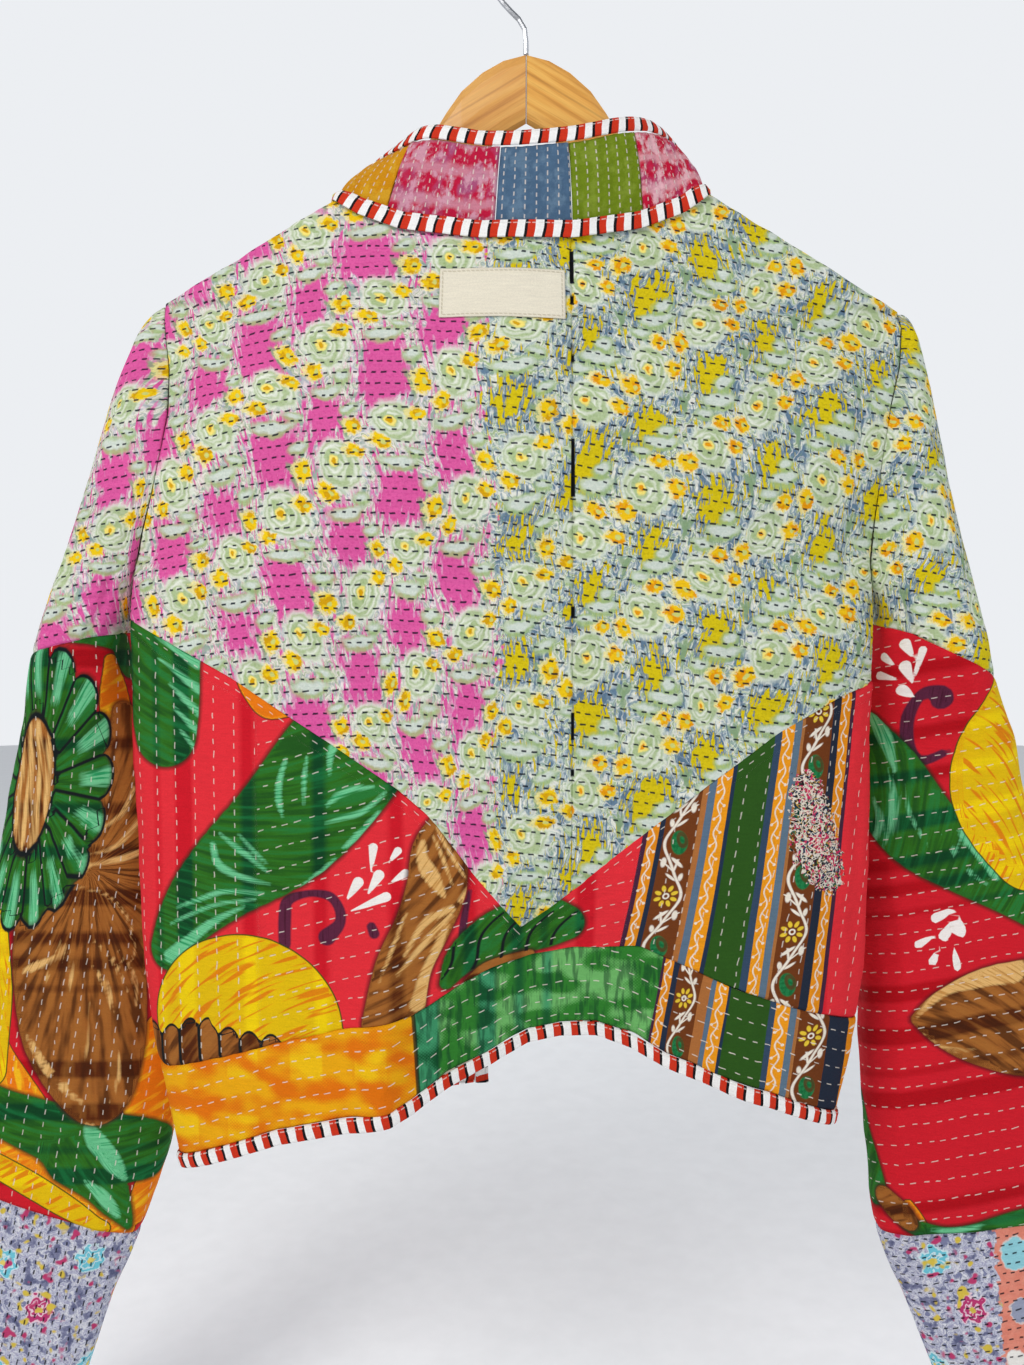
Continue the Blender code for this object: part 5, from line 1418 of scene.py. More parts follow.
FRONT_LEAVES = dict(
    left=(
        ("green", 60, 0.4, (
            (-220, -420, 10), (-190, -440, 24), (-150, -470, 30), (-110, -520, 24), (-84, -560, 8),
        )),
        ("yellow", 200, 0.4, ((-60, -430, 18), (-52, -450, 26), (-56, -480, 20))),
        ("brown", 80, 0.5, ((-200, -560, 8), (-180, -580, 26), (-150, -605, 26), (-120, -625, 8))),
        *strokes("tan", ((-196, -570, 1), (-176, -582, 4), (-150, -600, 3), (-130, -616, 0.6))),
        ("plum", 90, 0.0, ((-90, -620, 3), (-80, -600, 3.4), (-64, -598, 3), (-58, -612, 4.8))),
        *drops(
            (-76, -508, 3, -70, -522), (-62, -504, 3, -64, -520), (-50, -512, 3, -60, -524),
            (-84, -520, 2.6, -72, -526),
        ),
    ),
    right=(
        ("green", 120, 0.4, (
            (60, -440, 8), (84, -470, 24), (120, -500, 28), (160, -530, 22), (190, -570, 8),
        )),
        ("yellow", 300, 0.4, ((170, -440, 18), (180, -460, 28), (176, -490, 18))),
        ("brown", 100, 0.5, ((50, -540, 10), (62, -560, 20), (84, -580, 14), (100, -590, 4))),
        ("plum", 90, 0.0, ((120, -580, 3), (134, -566, 3.4), (148, -576, 4.6))),
        *drops((50, -480, 3, 58, -496), (62, -520, 2.8, 60, -504), (44, -500, 2.8, 56, -500)),
    ),
)
FRONT_NECK_ROWS, FRONT_UPPER_GRID = 12, (130, 66)
FRONT_COLUMNS, FRONT_LOWER_ROWS, FRONT_BAND_ROWS = 80, 80, 20
FRONT_FOOT = dict(x=FRONT_HEM_TOP["x"], z=FRONT_HEM_TOP["z"] - BINDING_WIDE)


def hanging_run(points):
    """Heights up the cloth itself from its lower edge, so that a shoulder's print isn't drawn out."""
    steps = np.linalg.norm(np.diff(points[..., 1:], axis=0), axis=-1)
    run = np.cumsum(steps[::-1], axis=0)[::-1]
    return points[-1:, :, 2] + np.concatenate([run, 0 * run[:1]])


def front_lift(x, z):
    swell = 0.8 * rumple(x, z, 30.0, 53) + 0.3 * rumple(x, z, 13.0, 54)
    return creases(FRONT_CREASES, x, z) + swell


def facing_you(points):
    """The fronts face the other way, so their columns run from right to left."""
    return points[:, ::-1]


def front(side, neck_x, outer, floral, colour):
    """Three pieces, one hung from another; gives what the bindings need of their edges."""
    neck, edge = NECK_FRONT[side], FRONT_EDGE[side]
    foot_z = float(read(FRONT_SEAM, "x", edge["x"][0], "z"))
    last_neck = float(neck["z"][-1])
    inner = [(neck_x, shoulder_line(neck_x))] + neck_edge(neck, FRONT_NECK_ROWS // 4)
    inner += stretch(last_neck, foot_z, len(outer) - FRONT_NECK_ROWS - 1, edge)
    left, right = (outer, inner) if side == "left" else (inner, outer)
    places = panel_places(left, right, *FRONT_UPPER_GRID, side)
    points, facing = lifted("front", places, quilted("front"))
    points, facing = tuck(points, -facing, 1.0), -facing
    pieces = [("front_upper_", points, floral, colour)]
    ends = [float(x_to_across(*outer[-1])), float(x_to_across(*inner[-1]))]
    first, last = (outer[-1][1], inner[-1][1]) if side == "left" else (inner[-1][1], outer[-1][1])
    ends = ends if side == "left" else ends[::-1]
    part = crowd(FRONT_COLUMNS, **{side: 0.05})
    across = ends[0] + (ends[1] - ends[0]) * part
    tops = first + (last - first) * (across - ends[0]) / (ends[1] - ends[0])
    seam_x = across_to_x(across, tops)
    tops = first + (last - first) * (seam_x - seam_x[0]) / (seam_x[-1] - seam_x[0]) - SEAM_GAP
    points, facing, feet = hung("front", across, tops, FRONT_BAND_TOP, FRONT_LOWER_ROWS, front_lift)
    pieces.append(("front_lower_", tuck(points, -facing, 1.0), red_sari, "leaf_print"))
    tops = feet - SEAM_GAP
    points, facing, feet = hung("front", across, tops, FRONT_HEM_TOP, FRONT_BAND_ROWS, front_lift)
    pieces.append(("front_band_", tuck(points, -facing, 0.9), green_band, "green_print"))
    made = []
    for name, points, material, slot in pieces:
        points = facing_you(points)
        flat = unrolled(points, 0 if side == "left" else -1)
        flat[..., 1] = hanging_run(points)
        x, z = points[..., 0], points[..., 2]
        rows = stitched_rows(x, z) if name == "front_upper_" else np.stack([z, x], axis=-1)
        drawn = painted(x, z, FRONT_LEAVES[side], x) if name == "front_lower_" else band_places(x, z, 0 * x)
        piece = cloth(name + side + "_cloth", points, flat, material, rows, drawn)
        sewn(name + side, slot, points)
        made.append(piece)
    return across, feet - SEAM_GAP, ends[1] if side == "left" else ends[0], foot_z, made[-1]


def front_bindings(side, across, tops, inner_across, seam_z, held):
    """The strips along one front's hem and up its open edge."""
    edge, away = FRONT_EDGE[side], 1 if side == "left" else -1
    hem_name, edge_name = "front_hem_binding_" + side, "front_edge_binding_" + side
    points, facing, _ = hung("front", across, tops, FRONT_FOOT, STRIP_ROWS, lambda x, z: 0 * x)
    part = np.linspace(0.0, 1.0, STRIP_ROWS)[:, None]
    rise = read(SWELL, "part", part, "rise") + 0.3 * rumple(points[..., 0], points[..., 1], 7.0, 34)
    points = facing_you(points - facing * rise[..., None])
    hem = cloth(hem_name + "_cloth", points, strip_run(points), striped_hem, thick=2.4, inner=striped_hem)
    sewn(hem_name, "striped_binding", points)
    foot = float(read(FRONT_HEM_TOP, "x", edge["x"][-1], "z")) - BINDING_WIDE
    z = (-214 + (foot + 214) * np.linspace(0.0, 1.0, 260))[:, None]
    edge_x = np.where(z > seam_z, read(edge, "z", z, "x"), across_to_x(inner_across, z))
    part = np.linspace(0.0, 1.0, STRIP_ROWS)[None, :]
    x = edge_x + away * SEAM_GAP * 1.3 + away * BINDING_WIDE * part
    points = body("front", x_to_across(x, z), z * np.ones_like(x))
    facing = outward(points) * away
    rise = read(SWELL, "part", part, "rise") + 0.3 * rumple(x, z, 7.0, 35)
    points = (points - facing * rise[..., None])[:, ::-away]
    run = strip_run(points.transpose(1, 0, 2)).transpose(1, 0, 2)
    strip = cloth(edge_name + "_cloth", points, run, striped_hem, thick=2.4, inner=striped_hem)
    sewn(edge_name, "striped_binding", points)


outer_left = shoulder(LEFT_NECK_X, -214) + left_armhole
outer_right = shoulder(RIGHT_NECK_X, 221) + right_armhole + right_side
front_bindings("left", *front("left", LEFT_NECK_X, outer_left, rose_pink, "pink_floral"))
front_bindings("right", *front("right", RIGHT_NECK_X, outer_right, rose_blue, "blue_floral"))

# Collar: five patches of plain and tie dyed cotton stand round the neck, quilted with upright rows
# of white stitches and bound along the top and both ends with the striped strip.
COLLAR = (
    # face, then the seam's x on the neck, and the collar's top edge over it
    ("front", -34, -58, 88, -180), ("front", -56, -80, 84, -166), ("front", -82, -102, 74, -146),
    ("front", -101, -109, 60, -114), ("back", -109, -91, 40, -108), ("back", -94, -71, 12, -105.5),
    ("back", -70, -54, -6, -104.5), ("back", -26, -20, -14, -111.5), ("back", 25, 22, -15, -109.5),
    ("back", 63, 56, -7, -100.5), ("back", 87, 73, 9, -96), ("back", 103.5, 88, 36, -96),
    ("front", 96, 105.5, 58, -112.5), ("front", 78, 98, 74, -146), ("front", 52, 76, 84, -166),
    ("front", 32, 56, 88, -180),
)
COLLAR_BOW, COLLAR_PITCH = 2.5, 6.2
LAST_STATION = len(COLLAR) - 1.0
PATCHES = (
    # name, from and to station, columns, then its dyes: ground, deeper and paler, and how dyed
    ("mustard", 0.0, 5.55, 130, rgb(206, 142, 14), rgb(190, 116, 6), rgb(216, 172, 50), 0.25),
    ("pink", 5.55, 7.16, 54, rgb(166, 78, 118), rgb(186, 22, 60), rgb(206, 150, 168), 1.0),
    ("slate", 7.16, 8.02, 36, rgb(78, 106, 134), rgb(58, 82, 108), rgb(108, 134, 156), 0.3),
    ("olive", 8.02, 9.15, 40, rgb(112, 134, 26), rgb(92, 112, 14), rgb(136, 154, 56), 0.3),
    ("crimson", 9.15, 15.0, 140, rgb(172, 70, 112), rgb(190, 18, 54), rgb(228, 178, 186), 1.0),
)


def dyed_cotton(name, ground, deeper, paler, tie_dye):
    made = Finish(name, roughness=0.86)
    across, up, place = made.along()
    cloud = made.streaks(across * 0.075, up * 0.05, detail=3.0, rough=0.55)
    made.colour = made.blend(((cloud - 0.5) * 7.0 + 0.3).inside(1.0) * tie_dye, ground, deeper)
    wisps = made.streaks(across * 0.11 + 30.0, up * 0.07, detail=4.0, rough=0.65)
    bleed = ((wisps - 0.54) * 10.0).inside(1.0)
    if tie_dye == 1.0:
        bleed = bleed.high(((0.16 - abs((up * 0.055 + wisps * 0.8) % 1.0 - 0.5)) * 6.0).inside(1.0) * 0.7)
    made.ink(bleed * (0.35 + 0.6 * tie_dye), paler)
    fibres = worn(made, place, fade=0.05)
    column = across / COLLAR_PITCH
    at = (up + column.floor() * 2.6 + (cloud - 0.5) * 5.0) % 4.6
    aside = abs(column % 1.0 * COLLAR_PITCH - COLLAR_PITCH / 2 + (wisps - 0.5) * 1.2)
    dash = (1.15 - abs(at - 2.3)).low((0.36 - aside) * 1.6).inside(0.4)
    made.ink(dash * 0.7, rgb(226, 214, 206))
    ripple = made.streaks(across * 0.16, up * 0.24, detail=1.5)
    return made.surface(raised=fibres * 0.12 + ripple - dash * 0.15, deep=1.3)


COLLAR_STRIPES = ((1.6, BLACK_STRIPE), (4.1, RED_STRIPE), (4.5, WHITE_STRIPE))
striped_collar = striped_strip("striped collar binding", COLLAR_STRIPES, -0.15)


def collar_station(at):
    """The neck seam's own point, and the collar's top above it, at one place along the collar."""
    low = min(int(at), len(COLLAR) - 2)
    part = at - low
    rows = [COLLAR[min(max(i, 0), len(COLLAR) - 1)] for i in (low - 1, low, low + 1, low + 2)]
    top = between(*(np.array(row[2:], float) for row in rows), part)
    x = rows[1][1] + (rows[2][1] - rows[1][1]) * part
    face = "front" if "front" in (rows[1][0], rows[2][0]) and x != rows[1][1] else rows[1][0]
    neck = NECK_BACK if face == "back" else NECK_FRONT["left" if x < 0 else "right"]
    return face, x, float(read(neck, "x", x, "z")), top


def neck_point(at):
    face, x, z, _ = collar_station(at)
    return body(face, x_to_across(x, z), z)


def unit(vector):
    return vector / max(np.linalg.norm(vector), 1e-9)


def placed_frame(at):
    """Foot, top and the way into the neck, for one column of the collar."""
    top = collar_station(at)[3]
    near = [min(max(at + step, 0.0), LAST_STATION) for step in (-0.06, 0.06)]
    run = neck_point(near[1]) - neck_point(near[0])
    inward = unit(np.array([-run[1], run[0], 0.0]))
    inward = inward if inward @ (np.array([0, 12, 0]) - neck_point(at)) > 0 else -inward
    return neck_point(at) + np.array([0, 0, 0.5]) + inward * 0.2, top, inward


FRAME_AT = np.linspace(0.0, LAST_STATION, 751)
FRAMES = np.array([np.concatenate(placed_frame(at)) for at in FRAME_AT])


def collar_frame(at):
    """The same three, read from the table of frames."""
    return np.array([np.interp(at, FRAME_AT, FRAMES[:, k]) for k in range(9)]).reshape(3, 3)


def collar_column(at, start=0.0, end=1.0, rows=5):
    """Points up one column of the collar and the way through the cloth at each."""
    foot, top, inward = collar_frame(at)
    near = [collar_frame(min(max(at + step, 0.0), LAST_STATION)) for step in (-0.1, 0.1)]
    part = np.linspace(start, end, rows)[:, None]
    ends = [side[0] + (side[1] - side[0]) * part for side in near]
    face = np.cross(ends[1] - ends[0], unit(top - foot))
    face = face / np.linalg.norm(face, axis=-1, keepdims=True)
    face = np.where((face @ inward > 0)[:, None], face, -face)
    way = inward + (face - inward) * ease(part * 3)
    way = way / np.linalg.norm(way, axis=-1, keepdims=True)
    return foot + (top - foot) * part - way * COLLAR_BOW * np.sin(np.pi * part), way


def binding_part(at):
    foot, top, _ = collar_frame(at)
    return 1 - BINDING_WIDE / np.linalg.norm(top - foot)


def strip_of(stations, start, end, rows):
    """Points and ways of a stretch of the collar, its first row on top as seen from outside."""
    made = [collar_column(at, start(at), end(at), rows) for at in stations]
    points, ways = (np.stack([column[k] for column in made], axis=1)[::-1] for k in (0, 1))
    return points, ways


for name, start, end, count, *dyes in PATCHES:
    stations = np.linspace(start + 0.004, end - 0.004, count)
    points, ways = strip_of(stations, lambda at: 0.0, lambda at: binding_part(at) - 0.01, 28)
    run = strip_run(points)
    swell = 0.5 * rumple(run[..., 0] + start * 90, run[..., 1], 15.0, 61)
    swell = swell + 0.25 * rumple(run[..., 0], run[..., 1], 6.0, 62)
    rows = np.cos(2 * np.pi * run[..., 0] / COLLAR_PITCH)
    points = points - ways * (swell - 0.22 * rows + 0.3)[..., None]
    cotton = dyed_cotton(name + " cotton", *dyes)
    patch = cloth("collar_" + name + "_cloth", tuck(points, -ways, 0.7), run, cotton)
    sewn("collar_" + name, name + "_patch", points)

stations = np.linspace(0.0, LAST_STATION, 520)
points, ways = strip_of(stations, binding_part, lambda at: 1.0, STRIP_ROWS)
part = np.linspace(1.0, 0.0, STRIP_ROWS)[:, None]
run = strip_run(points)
rise = read(SWELL, "part", part, "rise") * 0.8 + 0.25 * rumple(run[..., 0], run[..., 1], 6.0, 71)
points = points - ways * rise[..., None]
top_binding = cloth("collar_top_binding_cloth", points, run, striped_collar, thick=2.6, inner=striped_collar)
sewn("collar_top_binding", "striped_binding", points)

# Neck binding: the same striped strip lies over the seam between the collar and the body, rounded
# over the thick layers below it and sewn down along both its edges.
low_points, high_points, low_ways, high_ways = [], [], [], []
stations = np.linspace(0.5, 14.5, 420)
for at in stations:
    foot, top, _ = collar_frame(at)
    face, x, z, _ = collar_station(at)
    before, after = collar_station(max(at - 0.05, 0.0)), collar_station(at + 0.05)
    tangent = unit(np.array([after[1] - before[1], after[2] - before[2]]))
    away = np.array([tangent[1], -tangent[0]])
    away = away if away @ np.array([x, z + 100.0]) > 0 else -away
    low_x, low_z = x + away[0] * 5.0, z + away[1] * 5.0
    low_z = min(low_z, float(shoulder_line(low_x)) - 0.05)
    beside = ((low_x, low_z), (low_x + 0.5, low_z), (low_x, low_z - 0.5))
    near = [body(face, x_to_across(a, b), b) for a, b in beside]
    low_way = unit(np.cross(near[2] - near[0], near[1] - near[0]))
    low_way = low_way if low_way[1] * (-1 if face == "back" else 1) > 0 else -low_way
    stood, ways = collar_column(at, start=4.5 / np.linalg.norm(top - foot), rows=2)
    low_points.append(near[0])
    low_ways.append(low_way)
    high_points.append(stood[0])
    high_ways.append(-ways[0])


def smoothed(vectors, times=14):
    vectors = np.array(vectors)
    for _ in range(times):
        vectors[1:-1] = (vectors[:-2] + 2 * vectors[1:-1] + vectors[2:]) / 4
    return vectors


low_points, high_points = smoothed(low_points, 6), smoothed(high_points, 6)
low_ways, high_ways = smoothed(low_ways, 30), smoothed(high_ways, 30)
neck_line = smoothed([neck_point(at) for at in stations], 6)
part = np.linspace(0.0, 1.0, STRIP_ROWS)[:, None, None]
middle_ways = low_ways + high_ways
middle_ways /= np.linalg.norm(middle_ways, axis=-1, keepdims=True)
middle = neck_line + middle_ways * 3.3
high, low = high_points + high_ways * 3.1, low_points + low_ways * 2.5
bend = high * (1 - part) ** 2 + 2 * part * (1 - part) * middle + low * part**2
run = strip_run(bend)
facing = (1 - part) * high_ways + part * low_ways
rise = 0.35 * np.sin(np.pi * part[..., 0]) + 0.25 * rumple(run[..., 0], run[..., 1], 6.0, 72)
points = bend + facing * rise[..., None]
neck_binding = cloth("neck_binding_cloth", points, run, striped_collar, thick=0.9)
sewn("neck_binding", "striped_binding", points)

# Sleeves: three tubes each, in the yoke's print, the leaf print and a grey floral, narrowing to
# the wrist. They hang forward and outward from the armholes.
sleeve_sari = leaf_print("leaf print of the sleeves", reds=(rgb(176, 10, 24), rgb(206, 28, 42)))


def grey_floral(name, mended):
    """Lavender grey cotton with small flowers, thickly quilted in black; one has a salmon patch."""
    made = Finish(name, roughness=0.88)
    across, up, place = made.along()
    sway = made.split(made.noise(place, 4.5, detail=2.0, out=1))
    x, y = across + (sway[0] - 0.5) * 6.0, up + (sway[1] - 0.5) * 6.0
    blot = (made.streaks(x * 0.13, y * 0.13, detail=3.0, rough=0.6) - 0.5) * 2.2 + 0.5
    made.colour = made.ramp(blot, *GREY_GROUND)
    for dx, dz, ring, petal, heart in FLORAL_RINGS:
        fx = (x - dx + 26.0) % 52.0 - 26.0
        fy = (y - dz + 34.0) % 68.0 - 34.0
        reach = (fx * fx + fy * fy) ** 0.5
        angle = fy.math("ARCTAN2", fx)
        lobed = reach + (angle * 6.0).sine() * 0.9 + (sway[2] - 0.5) * 7.0
        made.ink((8.6 - lobed).inside(0.7), petal)
        made.ink((1.3 - abs(lobed - 6.2)).high(1.0 - abs(lobed - 2.6)).inside(0.6), ring)
        made.ink((1.9 - reach).inside(0.6), heart)
    dab = made.noise(place, 8.0, detail=1.0)
    made.ink(((dab - 0.66) * 16.0).inside(1.0), rgb(214, 188, 74))
    made.ink(((0.335 - dab) * 16.0).inside(1.0), rgb(188, 62, 108))
    if mended:
        salmon = (x - 288.0 + (up + 760.0) * 0.06 + (sway[2] - 0.5) * 8.0).low(up * 0.0 + 60.0)
        patch = made.blend(((blot - 0.5) * 3.0).inside(1.0) * 0.4, rgb(222, 132, 112), rgb(232, 158, 138))
        for dx, dz, wide, tint in SALMON_DISCS:
            disc = oval_ink(x - dx, y - dz, wide, wide * 1.05)
            patch = made.blend(disc.inside(0.5), patch, tint)
            patch = made.blend((0.5 - abs(disc)).inside(0.4) * 0.6, patch, rgb(226, 214, 208))
        made.ink(salmon.inside(0.6), patch)
    fibres = worn(made, place, fade=0.08)
    dash = stitches(made, BLACK_ROWS, BLACK_PITCH, BLACK_LONG, BLACK_THICK)
    made.ink(dash * 0.9, rgb(26, 26, 38))
    ripple = puckers(made, BLACK_ROWS)
    return made.surface(raised=fibres * 0.10 + ripple - dash * 0.2, deep=1.3)


BLACK_ROWS, BLACK_PITCH, BLACK_LONG, BLACK_THICK = 5.6, 5.8, 2.5, 0.9
GREY_GROUND = (
    (0.15, rgb(92, 96, 128)), (0.36, rgb(136, 138, 166)), (0.46, rgb(206, 208, 220)),
    (0.54, rgb(152, 152, 182)), (0.64, rgb(222, 222, 228)), (0.80, rgb(124, 128, 160)),
)
FLORAL_RINGS = (
    # where one flower of the repeat is, then its ring's, petals' and heart's colours
    (-8.0, -778.0, rgb(112, 196, 214), rgb(206, 228, 232), rgb(226, 206, 110)),
    (14.0, -806.0, rgb(186, 58, 112), rgb(232, 202, 214), rgb(214, 190, 80)),
)
SALMON_DISCS = (
    # where each printed disc is, its half width and its colour
    (301.0, -772.0, 9.5, rgb(146, 206, 216)), (318.0, -796.0, 6.5, rgb(236, 232, 226)),
    (304.0, -806.0, 7.0, rgb(150, 156, 178)), (322.0, -822.0, 8.0, rgb(218, 196, 84)),
    (300.0, -836.0, 6.0, rgb(236, 232, 226)), (332.0, -770.0, 7.0, rgb(218, 196, 84)),
    (316.0, -856.0, 8.5, rgb(146, 206, 216)),
)
SLEEVE = dict(
    # part, the outer edge's x and z, the inner edge's x and z, the middle's y, and half the depth
    left=(
        ("upper", -214, -198.7, -233, -383, 18, 24), ("upper", -230, -214.5, -233.6, -384.2, 21, 30),
        ("upper", -252.7, -277, -234.8, -386.5, 29, 38), ("upper", -274.6, -345, -236.3, -389, 35, 43),
        ("middle", -295, -405, -238, -392, 39, 44), ("middle", -307.5, -441, -237, -428, 49, 38),
        ("middle", -320.5, -479, -222, -466, 56, 33), ("middle", -332, -534, -213, -526, 57, 30),
        ("middle", -347, -610, -216, -604, 55, 27), ("middle", -358.5, -675, -220, -690, 50, 23),
        ("lower", -366.6, -727, -244, -768, 45.5, 20), ("lower", -377, -804, -262, -812, 37, 18),
        ("cuff", -386, -882, -285, -888, 29, 16),
    ),
    right=(
        ("upper", 221, -202.7, 205, -373, 18, 23), ("upper", 231, -213.5, 205.6, -374.5, 21, 29),
        ("upper", 247, -284, 206.8, -377.5, 29, 37), ("upper", 265, -352, 208.4, -382, 35, 42),
        ("middle", 283, -420, 210, -387, 40, 43), ("middle", 303, -462, 209, -428, 50, 37),
        ("middle", 315, -501, 203, -468, 56, 33), ("middle", 328, -556, 203, -536, 56, 30),
        ("middle", 339, -619, 212, -602, 54, 27), ("middle", 347.7, -694, 215.5, -692, 49, 23),
        ("lower", 354, -751, 222.5, -765.5, 43, 20), ("lower", 357.5, -800, 241, -813, 37, 18),
        ("cuff", 362, -882, 269, -888, 29, 16),
    ),
)
SLEEVE_SQUARE, ARMHOLE_FADE = 2.8, 4.0
SLEEVE_ROWS = dict(upper=84, middle=164, lower=64)
SLEEVE_ROUND = 112
SLEEVE_CREASES = (
    # along runs from 0 at the armhole to 12 at the cuff, round from 0 at the outer edge
    # over the back at 0.25 to the inner edge at 0.5 and back over the front
    # round along to_round to_along wide rise
    (0.12, 0.6, 0.20, 5.0, 0.035, 1.6), (0.33, 0.8, 0.30, 4.6, 0.030, -1.5),
    (0.42, 3.6, 0.28, 5.4, 0.045, 1.6), (0.16, 5.2, 0.24, 9.6, 0.030, -1.4),
    (0.30, 6.2, 0.36, 11.4, 0.034, 1.5), (0.08, 6.8, 0.14, 11.6, 0.030, 1.3),
    (0.60, 0.9, 0.66, 6.0, 0.040, -1.6), (0.80, 1.2, 0.74, 6.4, 0.045, 1.7),
    (0.68, 5.4, 0.78, 11.0, 0.035, -1.5), (0.90, 4.6, 0.86, 11.4, 0.035, 1.4),
    (0.55, 6.6, 0.58, 11.6, 0.030, 1.5),
)
